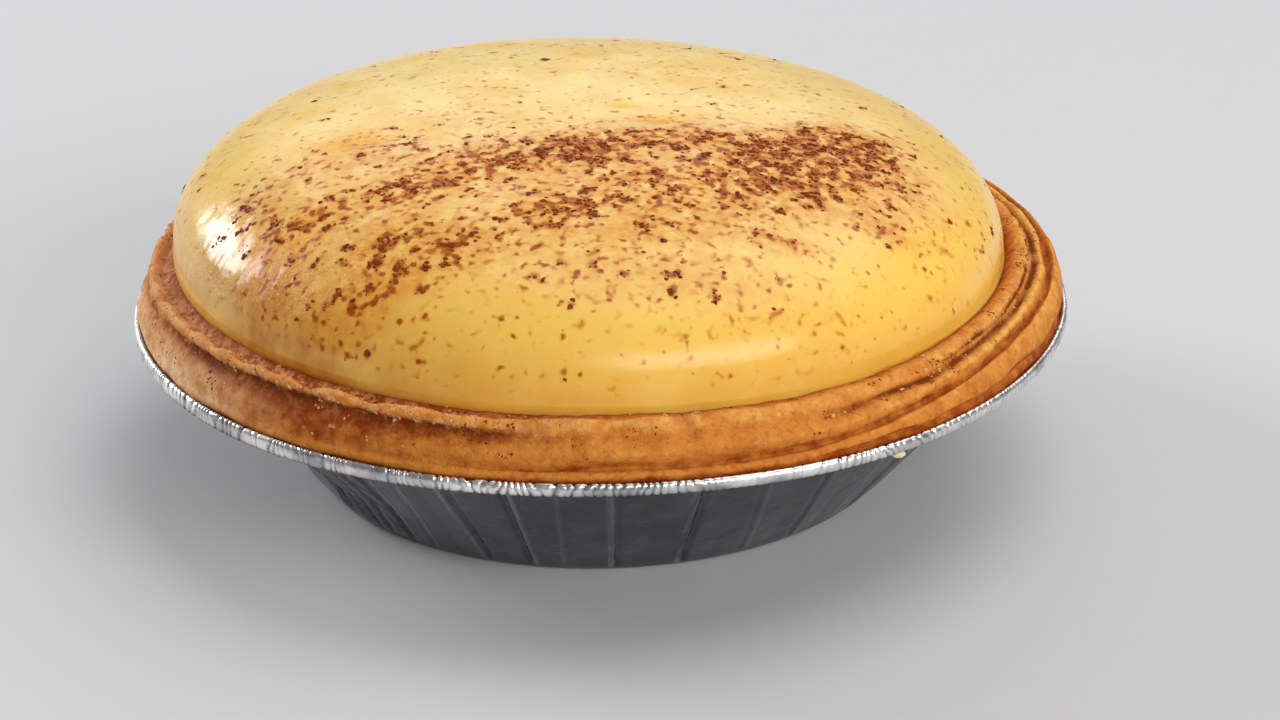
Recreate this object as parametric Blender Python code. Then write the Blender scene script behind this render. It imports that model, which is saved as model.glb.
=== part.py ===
"""A custard tart baked in its own foil tin.

Three closed pieces nest with a thin air gap between them: the pressed foil
tin, the pastry case that fills the tin and stands on its flange, and the
custard, which fills the case and swells into a low dome above it.

Units are metres. +Z is up, the tin's flat base is on z = 0, and the tin's
axis is the Z axis. The front of the tart faces -Y, and angles are measured
from +X towards +Y.
"""

import math

import bmesh
import bpy

# Foil tin: a shallow pressed dish with a flange and a rolled rim.
RIM_RADIUS = 0.0580
RIM_TOP = 0.0211
BEAD_WIDTH = 0.0010
BEAD_HEIGHT = 0.0014
BEAD_START = math.radians(-90)
BEAD_END = math.radians(90)
BEAD_POINTS = 5
FLANGE_HEIGHT = 0.0200
WALL_TOP_RADIUS = 0.0533
WALL_TOP = 0.0197
SHOULDER = 0.0004
FOOT_RADIUS = 0.0368
FOOT_HEIGHT = 0.0007
BASE_RADIUS = 0.0360
FOIL = 0.00035
WALL_LEVELS = 4

# Pleats where the flat sheet was gathered up into the wall.
PLEATS = 30
PLEAT_DEPTH = 0.0005
PLEAT_HALF_WIDTH = math.radians(1.6)

# Clearance between one piece and the next.
GAP = 0.0004

# Pastry case.
CRUST_WALL = 0.0040
CRUST_FLOOR = 0.0034
CRUST_HEEL = 0.0015
SEAM_HEIGHT = 0.0270
THROAT_DROP = 0.0023
THROAT_INSET = 0.0014

# The case's edge from the rim up to the lip, as (radius, height above the
# rim's top). The order is: lower edge, face, crest of the outer layer, crease
# between the layers, swell of the inner layer, hollow under the lip, lip's
# outside, lip's top and lip's inside.
EDGE_FRONT = (
    (0.05720, 0.00035),
    (0.05735, 0.00060),
    (0.05700, 0.00095),
    (0.05640, 0.00120),
    (0.05680, 0.00320),
    (0.05580, 0.00475),
    (0.05540, 0.00540),
    (0.05450, 0.00625),
    (0.05360, 0.00620),
)
EDGE_RIGHT = (
    (0.05720, 0.00035),
    (0.05700, 0.00250),
    (0.05535, 0.00590),
    (0.05440, 0.00540),
    (0.05360, 0.00600),
    (0.05260, 0.00560),
    (0.05220, 0.00620),
    (0.05150, 0.00650),
    (0.05080, 0.00630),
)
EDGE_LEFT = (
    (0.05720, 0.00035),
    (0.05735, 0.00060),
    (0.05730, 0.00095),
    (0.05715, 0.00130),
    (0.05670, 0.00310),
    (0.05580, 0.00490),
    (0.05570, 0.00590),
    (0.05500, 0.00660),
    (0.05390, 0.00645),
)

# Where each outline rules: the outer layer climbs over LAYER_RISE, stays on
# top and sinks back over LAYER_FALL; the left outline reaches round from its
# middle, and the whole edge dips at the back.
LAYER_RISE = (math.radians(-75), math.radians(-18))
LAYER_FALL = (math.radians(45), math.radians(115))
LEFT_MIDDLE = math.radians(-170)
LEFT_REACH = (math.radians(35), math.radians(95))
BACK_MIDDLE = math.radians(100)
BACK_REACH = (math.radians(50), math.radians(110))
BACK_DIP = 0.0010
RIPPLES = ((5, 1.0, 0.00010), (9, 2.3, 0.00008))

# Custard: a dome set a little to the left of the tin's axis, fuller at the
# front and higher on the left.
CUSTARD_RADIUS = 0.0511
CUSTARD_CENTRE = (-0.0013, 0.0003)
BRIM_HEIGHT = 0.0285
DOME_TOP = 0.0448
SIDE_ROUNDNESS = 3.1
TOP_ROUNDNESS = 2.3
DOME_LEVELS = 8
DOME_TILT = -0.026
FRONT_SWELL = 0.030
FRONT_SWELL_WIDTH = math.radians(55)

# Steps round the pastry and the custard.
FOOD_STEPS = 72

# The tin is not quite true: its rim rises and dips a little, as
# (angle, width, rise), and its wall is dented on the left.
WARPS = (
    (math.radians(-94), math.radians(24), 0.00015),
    (math.radians(-57), math.radians(18), -0.00020),
    (math.radians(40), math.radians(35), 0.00015),
    (math.radians(150), math.radians(40), -0.00015),
)
WARP_HEIGHTS = (0.006, 0.018)
WARP_RADII = (0.020, 0.050)
DENT_ANGLE = math.radians(-150)
DENT_WIDTH = math.radians(22)
DENT_HEIGHT = 0.0070
DENT_SPREAD = 0.0065
DENT_DEPTH = 0.0015

WALL_RUN = WALL_TOP_RADIUS - FOOT_RADIUS
WALL_RISE = WALL_TOP - FOOT_HEIGHT
SLANT = math.hypot(WALL_RUN, WALL_RISE) / WALL_RISE


def clear_scene():
    """Remove whatever the scene holds."""
    for item in list(bpy.data.objects):
        bpy.data.objects.remove(item, do_unlink=True)


def smooth(value):
    """Ease from 0 to 1 while value runs from 0 to 1."""
    value = min(1.0, max(0.0, value))
    return value * value * (3.0 - 2.0 * value)


def turn_between(angle, other):
    """Smallest signed turn from other to angle."""
    return math.remainder(angle - other, 2.0 * math.pi)


def ramp(value, limits):
    """Ease from 0 at the first limit to 1 at the second."""
    return smooth((value - limits[0]) / (limits[1] - limits[0]))


def mix(first, second, share):
    """Value the given share of the way from first to second."""
    return first + (second - first) * share


def bump(away, width):
    """Bell curve: 1 in the middle and near 0 past two widths from it."""
    return math.exp(-((away / width) ** 2))


def warp(point):
    """Move a point as the bent rim and the dented wall carry it."""
    x, y, z = point
    radius = math.hypot(x, y)
    angle = math.atan2(y, x)
    reach = ramp(z, WARP_HEIGHTS) * ramp(radius, WARP_RADII)
    lift = 0.0
    for middle, width, rise in WARPS:
        lift += rise * bump(turn_between(angle, middle), width)
    dent = DENT_DEPTH * bump(turn_between(angle, DENT_ANGLE), DENT_WIDTH)
    dent *= bump(z - DENT_HEIGHT, DENT_SPREAD) * smooth(z / DENT_HEIGHT)
    inward = 1.0 - dent * smooth(radius / FOOT_RADIUS) / max(radius, BASE_RADIUS)
    return (x * inward, y * inward, z + lift * reach)


def wall_radius(z):
    """Outer radius of the tin's sloping wall at height z."""
    return FOOT_RADIUS + WALL_RUN * (z - FOOT_HEIGHT) / WALL_RISE


def turned_body(name, section, angles, material):
    """Skin one closed body round the axis.

    section(angle) lists the body's points at that angle, from the middle of
    its underside, round the outside, to the middle of its upper side.
    """
    bm = bmesh.new()
    rings = []
    for angle in angles:
        ring = [bm.verts.new(warp(point)) for point in section(angle)[1:-1]]
        rings.append(ring)
    under = bm.verts.new(section(angles[0])[0])
    over = bm.verts.new(section(angles[0])[-1])
    for here, after in zip(rings, rings[1:] + rings[:1]):
        bm.faces.new((under, after[0], here[0]))
        for low in range(len(here) - 1):
            bm.faces.new((here[low], after[low], after[low + 1], here[low + 1]))
        bm.faces.new((over, here[-1], after[-1]))
    mesh = bpy.data.meshes.new(name)
    bm.to_mesh(mesh)
    bm.free()
    mesh.shade_smooth()
    mesh.set_sharp_from_angle(angle=math.radians(35))
    mesh.materials.append(material)
    body = bpy.data.objects.new(name, mesh)
    bpy.context.scene.collection.objects.link(body)
    return body


def on_axis(angle, radius, z):
    """Point at a radius from the tin's axis."""
    return (radius * math.cos(angle), radius * math.sin(angle), z)


def on_custard(angle, radius, z):
    """Point at a radius from the custard's middle, which leans with height."""
    lean = min(1.0, z / SEAM_HEIGHT)
    front = bump(turn_between(angle, -math.pi / 2.0), FRONT_SWELL_WIDTH)
    radius *= 1.0 + FRONT_SWELL * front * lean
    x = radius * math.cos(angle)
    y = radius * math.sin(angle)
    tilt = DOME_TILT * x * ramp(z, (WARP_HEIGHTS[0], SEAM_HEIGHT))
    return (CUSTARD_CENTRE[0] * lean + x, CUSTARD_CENTRE[1] * lean + y, z + tilt)


def pleat_angles():
    """Angles of the tin's points: each pleat's ridge, its feet and a panel."""
    pitch = 2.0 * math.pi / PLEATS
    angles = []
    for pleat in range(PLEATS):
        ridge = pleat * pitch
        angles.append(ridge)
        angles.append(ridge + PLEAT_HALF_WIDTH)
        angles.append(ridge + pitch / 2.0)
        angles.append(ridge + pitch - PLEAT_HALF_WIDTH)
    return angles


def pleat_height(angle):
    """How far the nearest pleat stands out of the wall at this angle."""
    pitch = 2.0 * math.pi / PLEATS
    away = abs(math.remainder(angle, pitch))
    return PLEAT_DEPTH * max(0.0, 1.0 - away / PLEAT_HALF_WIDTH)


def wall_shares():
    """Even shares of the wall's height, from its foot to its top."""
    return [level / (WALL_LEVELS - 1) for level in range(WALL_LEVELS)]


def tin_section(angle):
    """Outline of the pressed foil at one angle."""
    pleat = pleat_height(angle)
    outside = []
    inside = []
    for share in wall_shares():
        z = mix(FOOT_HEIGHT, WALL_TOP, share)
        radius = wall_radius(z) + pleat * (1.0 - (2.0 * share - 1.0) ** 2 / 2.0)
        outside.append((radius, z))
        inside.append((radius - FOIL * SLANT, z))
    bead = []
    for step in range(BEAD_POINTS):
        around = mix(BEAD_START, BEAD_END, step / (BEAD_POINTS - 1))
        radius = RIM_RADIUS - BEAD_WIDTH / 2.0 * (1.0 - math.cos(around))
        bead.append((radius, RIM_TOP - BEAD_HEIGHT / 2.0 * (1.0 - math.sin(around))))
    outline = [(0.0, 0.0), (BASE_RADIUS, 0.0)]
    outline += outside
    outline.append((WALL_TOP_RADIUS + SHOULDER, FLANGE_HEIGHT))
    outline += bead
    outline.append((RIM_RADIUS - BEAD_WIDTH, FLANGE_HEIGHT + FOIL))
    outline.append((WALL_TOP_RADIUS, FLANGE_HEIGHT + FOIL))
    outline += reversed(inside)
    outline += [(BASE_RADIUS, FOIL), (0.0, FOIL)]
    return [on_axis(angle, radius, z) for radius, z in outline]


def edge_point(angle, index):
    """Point of the case's edge: the front, right and left outlines blended.

    The outer layer climbs from a thin strip at the front to the top of the
    edge on the right, and falls back again round the far side.
    """
    turn = turn_between(angle, 0.0)
    right = ramp(turn, LAYER_RISE) * (1.0 - ramp(turn, LAYER_FALL))
    left = 1.0 - ramp(abs(turn_between(angle, LEFT_MIDDLE)), LEFT_REACH)
    left *= 1.0 - right
    blend = []
    for axis in range(2):
        front = EDGE_FRONT[index][axis]
        value = mix(front, EDGE_RIGHT[index][axis], right)
        blend.append(value + left * (EDGE_LEFT[index][axis] - front))
    uneven = sum(height * math.sin(count * angle + start) for count, start, height in RIPPLES)
    uneven -= BACK_DIP * (1.0 - ramp(abs(turn_between(angle, BACK_MIDDLE)), BACK_REACH))
    above = smooth(index / (len(EDGE_FRONT) - 1))
    return on_axis(angle, blend[0], RIM_TOP + blend[1] + uneven * above)


def filling_side(clearance):
    """Radii and heights of the case's inside, or of the custard within it."""
    depth = (FOIL + GAP + CRUST_WALL) * SLANT
    floor = FOIL + GAP + CRUST_FLOOR
    heel = floor + CRUST_HEEL
    shrink = clearance * SLANT
    side = [
        (CUSTARD_RADIUS + GAP - clearance, SEAM_HEIGHT),
        (CUSTARD_RADIUS + GAP - THROAT_INSET - shrink, SEAM_HEIGHT - THROAT_DROP),
    ]
    for share in (1.0, 0.5, 0.0):
        z = mix(heel, FLANGE_HEIGHT, share)
        side.append((wall_radius(z) - depth - shrink, z + clearance * (1.0 - share)))
    side.append((wall_radius(heel) - depth - CRUST_HEEL - clearance, floor + clearance))
    return side


def crust_section(angle):
    """Outline of the pastry case at one angle."""
    depth = (FOIL + GAP) * SLANT
    under = FLANGE_HEIGHT + FOIL + GAP
    outline = [(0.0, FOIL + GAP), (BASE_RADIUS - GAP, FOIL + GAP)]
    for share in wall_shares():
        z = mix(FOOT_HEIGHT + GAP, WALL_TOP, share)
        outline.append((wall_radius(z) - depth, z))
    outline += [
        (wall_radius(FLANGE_HEIGHT) - depth, FLANGE_HEIGHT + GAP),
        (WALL_TOP_RADIUS, under),
        (RIM_RADIUS - BEAD_WIDTH - 2.0 * GAP, under),
        (RIM_RADIUS - BEAD_WIDTH - GAP, RIM_TOP),
    ]
    points = [on_axis(angle, radius, z) for radius, z in outline]
    points += [edge_point(angle, index) for index in range(len(EDGE_FRONT))]
    points += [on_custard(angle, radius, z) for radius, z in filling_side(0.0)]
    points.append(on_custard(angle, 0.0, FOIL + GAP + CRUST_FLOOR))
    return points


def custard_section(angle):
    """Outline of the custard at one angle, from its underside to the dome."""
    side = filling_side(GAP)
    points = [on_custard(angle, 0.0, side[-1][1])]
    points += [on_custard(angle, radius, z) for radius, z in reversed(side)]
    for level in range(DOME_LEVELS):
        rise = math.pi / 2.0 * level / DOME_LEVELS
        radius = CUSTARD_RADIUS * math.cos(rise) ** (2.0 / SIDE_ROUNDNESS)
        climb = math.sin(rise) ** (2.0 / TOP_ROUNDNESS)
        points.append(on_custard(angle, radius, mix(BRIM_HEIGHT, DOME_TOP, climb)))
    points.append(on_custard(angle, 0.0, DOME_TOP))
    return points


def surface(name, colour, roughness, metallic):
    """Plain material with one colour."""
    material = bpy.data.materials.new(name)
    material.use_nodes = True
    shader = material.node_tree.nodes["Principled BSDF"]
    shader.inputs["Base Color"].default_value = (*colour, 1.0)
    shader.inputs["Roughness"].default_value = roughness
    shader.inputs["Metallic"].default_value = metallic
    return material


def build():
    """Make the tin, the case and the custard."""
    clear_scene()
    steps = [2.0 * math.pi * step / FOOD_STEPS for step in range(FOOD_STEPS)]
    foil = surface("bright_foil", (0.80, 0.80, 0.81), 0.28, 1.0)
    pastry = surface("baked_pastry", (0.55, 0.28, 0.10), 0.75, 0.0)
    custard = surface("set_custard", (0.86, 0.56, 0.13), 0.25, 0.0)
    turned_body("foil_tin", tin_section, pleat_angles(), foil)
    turned_body("crust", crust_section, steps, pastry)
    turned_body("custard", custard_section, steps, custard)


build()
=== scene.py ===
# %% [markdown]
# # An egg custard tart in its foil tin
#
# This lesson builds one baked tart from the outside in: the pressed foil tin, the
# pastry case that stands on its rim, the custard that swells above the pastry, and
# the ground spice dusted over it. The sizes come from a CAD model of the same tart,
# which is loaded first and stays as it is. Each real surface is then made again,
# finer, in the same place, so the two can be laid over each other.
#
# Units are metres, +Z is up, the tin stands on z = 0 and its axis is the Z axis. The
# front of the tart faces -Y. Angles run from +X towards +Y.

# %% Load the CAD model as a fixed frame
import math

import bpy
import numpy as np
from mathutils import Matrix, Vector


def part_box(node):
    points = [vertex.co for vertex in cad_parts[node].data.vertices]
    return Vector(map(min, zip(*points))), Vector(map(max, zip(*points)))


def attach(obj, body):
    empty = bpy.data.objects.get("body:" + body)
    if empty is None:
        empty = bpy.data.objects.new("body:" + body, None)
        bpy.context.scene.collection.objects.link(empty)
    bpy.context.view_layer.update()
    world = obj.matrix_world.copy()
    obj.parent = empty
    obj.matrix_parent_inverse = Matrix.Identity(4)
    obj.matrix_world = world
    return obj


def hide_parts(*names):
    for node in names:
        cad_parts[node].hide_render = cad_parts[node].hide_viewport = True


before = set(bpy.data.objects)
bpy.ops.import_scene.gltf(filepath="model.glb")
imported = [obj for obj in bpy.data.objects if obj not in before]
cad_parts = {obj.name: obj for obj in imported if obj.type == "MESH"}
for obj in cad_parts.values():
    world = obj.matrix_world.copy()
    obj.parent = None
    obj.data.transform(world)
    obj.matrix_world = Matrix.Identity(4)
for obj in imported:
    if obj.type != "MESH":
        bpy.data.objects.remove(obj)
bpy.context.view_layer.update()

for node_name in sorted(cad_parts):
    low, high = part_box(node_name)
    print(node_name, "stands from", round(low[2] * 1000, 2), "to", round(high[2] * 1000, 2), "mm")

# %% [markdown]
# ## Small helpers
#
# Nearly every shape here is a rule of two numbers: the angle round the tart and the
# height or distance along its outline. The helpers below ease between values and
# measure turns. They take whole arrays, so a ring of a thousand points costs no more
# lines than one point.

# %% Easing and turning
TURN = 2.0 * math.pi


def smooth(value):
    """Ease from 0 to 1 while value runs from 0 to 1."""
    value = np.clip(value, 0.0, 1.0)
    return value * value * (3.0 - 2.0 * value)


def ramp(value, low, high):
    """Ease from 0 at low to 1 at high."""
    return smooth((value - low) / (high - low))


def mix(first, second, share):
    """Value the given share of the way from first to second."""
    return first + (second - first) * share


def bump(away, width):
    """Bell curve: 1 in the middle and near 0 past two widths from it."""
    return np.exp(-((away / width) ** 2))


def turn_between(angle, other):
    """Smallest signed turn from other to angle."""
    return (angle - other + math.pi) % TURN - math.pi


def ring(steps):
    """Evenly spaced angles round the tart."""
    return np.arange(steps) * TURN / steps


print("a quarter turn back from the front is", round(math.degrees(turn_between(-2.5, 1.5)), 1), "degrees")

# %% [markdown]
# ## How the tin is out of true
#
# A thin foil tin is never quite round. Its rim rises and dips by a fraction of a
# millimetre, and on the left a thumb has pushed its wall in. Everything that sits in
# the tin was baked there, so it follows. One function therefore bends every piece.

# %% Bend and dent
FOOT_RADIUS = 0.0368
BASE_RADIUS = 0.0360
WARPS = (
    (math.radians(-94), math.radians(24), 0.00015),
    (math.radians(-57), math.radians(18), -0.00020),
    (math.radians(40), math.radians(35), 0.00015),
    (math.radians(150), math.radians(40), -0.00015),
)
WARP_HEIGHTS = (0.006, 0.018)
WARP_RADII = (0.020, 0.050)
DENT_ANGLE = math.radians(-150)
DENT_WIDTH = math.radians(22)
DENT_HEIGHT = 0.0070
DENT_SPREAD = 0.0065
DENT_DEPTH = 0.0015


def bend(points):
    """Move points as the bent rim and the dented wall carry them."""
    x, y, z = points[..., 0], points[..., 1], points[..., 2]
    radius = np.hypot(x, y)
    angle = np.arctan2(y, x)
    lift = ramp(z, *WARP_HEIGHTS) * ramp(radius, *WARP_RADII)
    lift = lift * sum(rise * bump(turn_between(angle, middle), width) for middle, width, rise in WARPS)
    dent = DENT_DEPTH * bump(turn_between(angle, DENT_ANGLE), DENT_WIDTH)
    dent = dent * bump(z - DENT_HEIGHT, DENT_SPREAD) * smooth(z / DENT_HEIGHT)
    inward = 1.0 - dent * smooth(radius / FOOT_RADIUS) / np.maximum(radius, BASE_RADIUS)
    return np.stack((x * inward, y * inward, z + lift), axis=-1)


print("the dent is", DENT_DEPTH * 1000, "mm deep at", math.degrees(DENT_ANGLE), "degrees")

# %% [markdown]
# ## A closed skin from rings of points
#
# A pie tin, a pastry case and a custard filling are all turned shapes, but uneven
# ones. A lathe or Screw modifier repeats one outline, so it can't lean or thin out.
# Here the outline may differ at every angle: it is a grid of points, angle by
# station, skinned with quads and closed with a fan at the middle of its underside
# and of its upper side.

# %% Grid skinner
def skin(name, grid, under, over, marks=None):
    """Closed mesh object from grid[angle, station], which runs from under to over."""
    turns, stations = grid.shape[:2]
    points = np.concatenate((grid.reshape(-1, 3), [under, over]))
    here = np.arange(turns)[:, None] * stations + np.arange(stations - 1)[None, :]
    after = (here + stations) % (turns * stations)
    quads = np.stack((here, after, after + 1, here + 1), axis=-1).reshape(-1, 4)
    first = np.arange(turns) * stations
    following = np.roll(first, -1)
    low_fan = np.stack((np.full(turns, turns * stations), following, first), axis=-1)
    last = first + stations - 1
    high_fan = np.stack((np.full(turns, turns * stations + 1), last, np.roll(last, -1)), axis=-1)
    mesh = bpy.data.meshes.new(name)
    mesh.from_pydata(points.tolist(), [], quads.tolist() + low_fan.tolist() + high_fan.tolist())
    mesh.shade_smooth()
    for mark, values in (marks or {}).items():
        layer = mesh.attributes.new(mark, "FLOAT", "POINT")
        ends = [values[:, 0].mean(), values[:, -1].mean()]
        layer.data.foreach_set("value", np.concatenate((values.ravel(), ends)).astype(np.float32))
    piece = bpy.data.objects.new(name, mesh)
    bpy.context.scene.collection.objects.link(piece)
    return piece


def on_axis(angles, radius, z):
    """Points at a radius from the tin's axis."""
    angles, radius, z = np.broadcast_arrays(angles, radius, z)
    return np.stack((radius * np.cos(angles), radius * np.sin(angles), z), axis=-1)


def flowing(controls, counts):
    """Round curves through controls[angle, point, xyz], with so many steps in each stretch.

    Returns the points and, for each of them, how far along the controls it is.
    """
    ahead = controls[:, 1:] - controls[:, :-1]
    lengths = np.linalg.norm(ahead, axis=-1, keepdims=True)
    through = np.concatenate((ahead[:, :1], controls[:, 2:] - controls[:, :-2], ahead[:, -1:]), axis=1)
    through = through / np.maximum(np.linalg.norm(through, axis=-1, keepdims=True), 1e-9)
    rings, stations = [], []
    for stretch, count in enumerate(counts):
        share = (np.arange(count) / count)[None, :, None]
        start, end = controls[:, stretch, None], controls[:, stretch + 1, None]
        leave = through[:, stretch, None] * lengths[:, stretch, None]
        arrive = through[:, stretch + 1, None] * lengths[:, stretch, None]
        points = start * (1 + 2 * share) * (1 - share) ** 2 + end * share**2 * (3 - 2 * share)
        points = points + leave * share * (1 - share) ** 2 + arrive * share**2 * (share - 1)
        rings.append(points)
        stations.append(stretch + share[0, :, 0])
    rings.append(controls[:, -1:])
    stations.append([float(len(counts))])
    return np.concatenate(rings, axis=1), np.concatenate(stations)


def outward(grid):
    """Unit directions out of the skin at each point of a grid."""
    round_way = np.roll(grid, -1, axis=0) - np.roll(grid, 1, axis=0)
    up_way = np.gradient(grid, axis=1)
    normals = np.cross(round_way, up_way)
    return normals / np.maximum(np.linalg.norm(normals, axis=-1, keepdims=True), 1e-12)


print("helpers for skins are ready")

# %% [markdown]
# ## Wiring nodes from code
#
# Geometry Nodes and shader nodes are drawn as boxes and wires. In code, each box is
# a line. These helpers place a node, feed its inputs with either a wire or a plain
# value, and set a modifier's inputs by their identifiers, which stay fixed when a
# name on the panel changes.

# %% Node helpers
def feed(tree, socket, value):
    """Give an input a wire from another node, or a plain value."""
    if isinstance(value, bpy.types.NodeSocket):
        tree.links.new(value, socket)
    elif value is not None:
        socket.default_value = value


def put(tree, kind, feeds=(), **settings):
    """Place a node, set it up and feed its inputs, by name or in order."""
    node = tree.nodes.new(kind)
    for name, value in settings.items():
        setattr(node, name, value)
    pairs = feeds.items() if isinstance(feeds, dict) else enumerate(feeds)
    for slot, value in pairs:
        feed(tree, node.inputs[slot], value)
    return node


def calc(tree, operation, *values):
    """Sum, product or other calculation on numbers; gives the output to wire on."""
    return put(tree, "ShaderNodeMath", values, operation=operation).outputs[0]


def between(tree, value, low, high, first=0.0, last=1.0):
    """Ease value's stretch from low to high into first to last."""
    feeds = (value, low, high, first, last)
    return put(tree, "ShaderNodeMapRange", feeds, interpolation_type="SMOOTHSTEP").outputs[0]


def new_tree(kind, name, inputs, outputs):
    """Empty tree with named inputs and outputs; returns it with its two end nodes."""
    tree = bpy.data.node_groups.new(name, kind)
    for label, socket_kind, value in inputs:
        socket = tree.interface.new_socket(label, in_out="INPUT", socket_type="NodeSocket" + socket_kind)
        if value is not None:
            socket.default_value = value
    for label, socket_kind in outputs:
        tree.interface.new_socket(label, in_out="OUTPUT", socket_type="NodeSocket" + socket_kind)
    return tree, tree.nodes.new("NodeGroupInput").outputs, tree.nodes.new("NodeGroupOutput").inputs


def dress(piece, tree, **values):
    """Run a Geometry Nodes tree on a piece and keep the plain mesh it makes."""
    modifier = piece.modifiers.new(tree.name, "NODES")
    modifier.node_group = tree
    for item in tree.interface.items_tree:
        key = item.name.lower().replace(" ", "_")
        if item.item_type == "SOCKET" and item.in_out == "INPUT" and key in values:
            modifier[item.identifier] = values.pop(key)
    if values:
        raise ValueError(f"{tree.name} has no input for {sorted(values)}")
    depsgraph = bpy.context.evaluated_depsgraph_get()
    shaped = piece.evaluated_get(depsgraph)
    plain = bpy.data.meshes.new_from_object(shaped, preserve_all_data_layers=True, depsgraph=depsgraph)
    piece.modifiers.clear()
    piece.data = plain
    plain.name = piece.name
    print(piece.name, "has", len(plain.polygons), "faces after", tree.name)
    return piece


print("node helpers are ready")

# %% [markdown]
# ## Effects that several finishes share
#
# Baked food and used foil are never one colour. Four small shader groups make what
# the finishes have in common, each with its own values wherever it is placed:
# browning runs from raw to dark with an uneven edge, blotches lay a second colour
# down in soft patches, dots scatter small round marks, and grain gives the fine
# height that a Bump node turns into texture. All read Object coordinates, so sizes
# are true sizes in metres.

# %% Shader helpers
def tint(tree, share, first, second):
    """Colour the given share of the way from first to second."""
    feeds = {0: share, 6: first, 7: second}
    return put(tree, "ShaderNodeMix", feeds, data_type="RGBA").outputs[2]


def speckle_noise(tree, size, detail=3.0, roughness=0.6, stretch=None):
    """Cloudy noise between 0 and 1 whose lumps are about size across."""
    place = put(tree, "ShaderNodeTexCoord").outputs["Object"]
    if stretch:
        place = put(tree, "ShaderNodeVectorMath", (place, stretch), operation="MULTIPLY").outputs[0]
    scale = calc(tree, "DIVIDE", 1.0, size)
    feeds = {"Vector": place, "Scale": scale, "Detail": detail, "Roughness": roughness}
    return put(tree, "ShaderNodeTexNoise", feeds).outputs[0]


SHADER = "ShaderNodeTree"
MM = 0.001

# %% Shared group: browning
browning, given, made = new_tree(
    SHADER,
    "browning",
    (
        ("Pale", "Color", None),
        ("Golden", "Color", None),
        ("Dark", "Color", None),
        ("Bake", "Float", 0.5),
        ("Unevenness", "Float", 0.4),
        ("Size", "Float", 2 * MM),
    ),
    (("Colour", "Color"), ("Baked", "Float")),
)
uneven = calc(browning, "SUBTRACT", speckle_noise(browning, given["Size"]), 0.5)
uneven = calc(browning, "MULTIPLY", uneven, given["Unevenness"])
baked = calc(browning, "ADD", given["Bake"], uneven)
half_way = tint(browning, between(browning, baked, 0.0, 0.5), given["Pale"], given["Golden"])
full_way = tint(browning, between(browning, baked, 0.5, 1.0), half_way, given["Dark"])
feed(browning, made["Colour"], full_way)
feed(browning, made["Baked"], baked)
print("browning puts out", [socket.name for socket in made if socket.name])

# %% Shared group: blotches
blotches, given, made = new_tree(
    SHADER,
    "blotches",
    (
        ("Colour", "Color", None),
        ("Blotch", "Color", None),
        ("Size", "Float", 3 * MM),
        ("Cover", "Float", 0.5),
        ("Softness", "Float", 0.15),
    ),
    (("Colour", "Color"), ("Mask", "Float")),
)
cloud = speckle_noise(blotches, given["Size"], detail=4.0)
level = calc(blotches, "SUBTRACT", 0.75, calc(blotches, "MULTIPLY", given["Cover"], 0.5))
low_level = calc(blotches, "SUBTRACT", level, given["Softness"])
high_level = calc(blotches, "ADD", level, given["Softness"])
mask = between(blotches, cloud, low_level, high_level)
feed(blotches, made["Colour"], tint(blotches, mask, given["Colour"], given["Blotch"]))
feed(blotches, made["Mask"], mask)
print("blotches puts out", [socket.name for socket in made if socket.name])

# %% Shared group: dots
dots, given, made = new_tree(
    SHADER,
    "dots",
    (
        ("Colour", "Color", None),
        ("Dot", "Color", None),
        ("Spacing", "Float", 1 * MM),
        ("Dot Size", "Float", 0.3),
        ("Share", "Float", 0.5),
    ),
    (("Colour", "Color"), ("Mask", "Float")),
)
place = put(dots, "ShaderNodeTexCoord").outputs["Object"]
wobble = put(dots, "ShaderNodeTexNoise", {"Vector": place, "Scale": calc(dots, "DIVIDE", 2.5, given["Spacing"])}).outputs["Color"]
wobble = put(dots, "ShaderNodeVectorMath", (wobble, (0.5, 0.5, 0.5)), operation="SUBTRACT").outputs[0]
wobble = put(dots, "ShaderNodeVectorMath", {0: wobble, "Scale": given["Spacing"]}, operation="SCALE").outputs[0]
place = put(dots, "ShaderNodeVectorMath", (place, wobble), operation="ADD").outputs[0]
cells = put(dots, "ShaderNodeTexVoronoi", {"Vector": place, "Scale": calc(dots, "DIVIDE", 1.0, given["Spacing"])})
draw = put(dots, "ShaderNodeSeparateColor", (cells.outputs["Color"],)).outputs
reach = calc(dots, "MULTIPLY", given["Dot Size"], calc(dots, "ADD", 0.35, draw[1]))
shape = between(dots, cells.outputs["Distance"], reach, calc(dots, "MULTIPLY", reach, 0.5))
chosen = calc(dots, "LESS_THAN", draw[0], given["Share"])
mask = calc(dots, "MULTIPLY", shape, chosen)
feed(dots, made["Colour"], tint(dots, mask, given["Colour"], given["Dot"]))
feed(dots, made["Mask"], mask)
print("dots puts out", [socket.name for socket in made if socket.name])

# %% Shared rule: clumps of powder
def clump_rule(tree, place, dusting, size, seed, sparse, dense, spread):
    """1 inside the clumps that powder gathers in, 0 between them.

    Where dusting is 0 only the peaks of the noise above sparse carry powder; where it is
    1 all above dense does, so that clumps grow and join as the powder thickens.
    """
    feeds = {"Vector": place, "W": seed, "Scale": calc(tree, "DIVIDE", 1.0, size), "Detail": 0.2, "Roughness": 0.5}
    cloud = put(tree, "ShaderNodeTexNoise", feeds, noise_dimensions="4D").outputs[0]
    level = put(tree, "ShaderNodeMapRange", (dusting, 0.0, 1.0, sparse, dense)).outputs[0]
    inside = between(tree, cloud, calc(tree, "SUBTRACT", level, spread), calc(tree, "ADD", level, spread))
    return calc(tree, "MULTIPLY", inside, between(tree, dusting, 0.0, 0.02))


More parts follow.
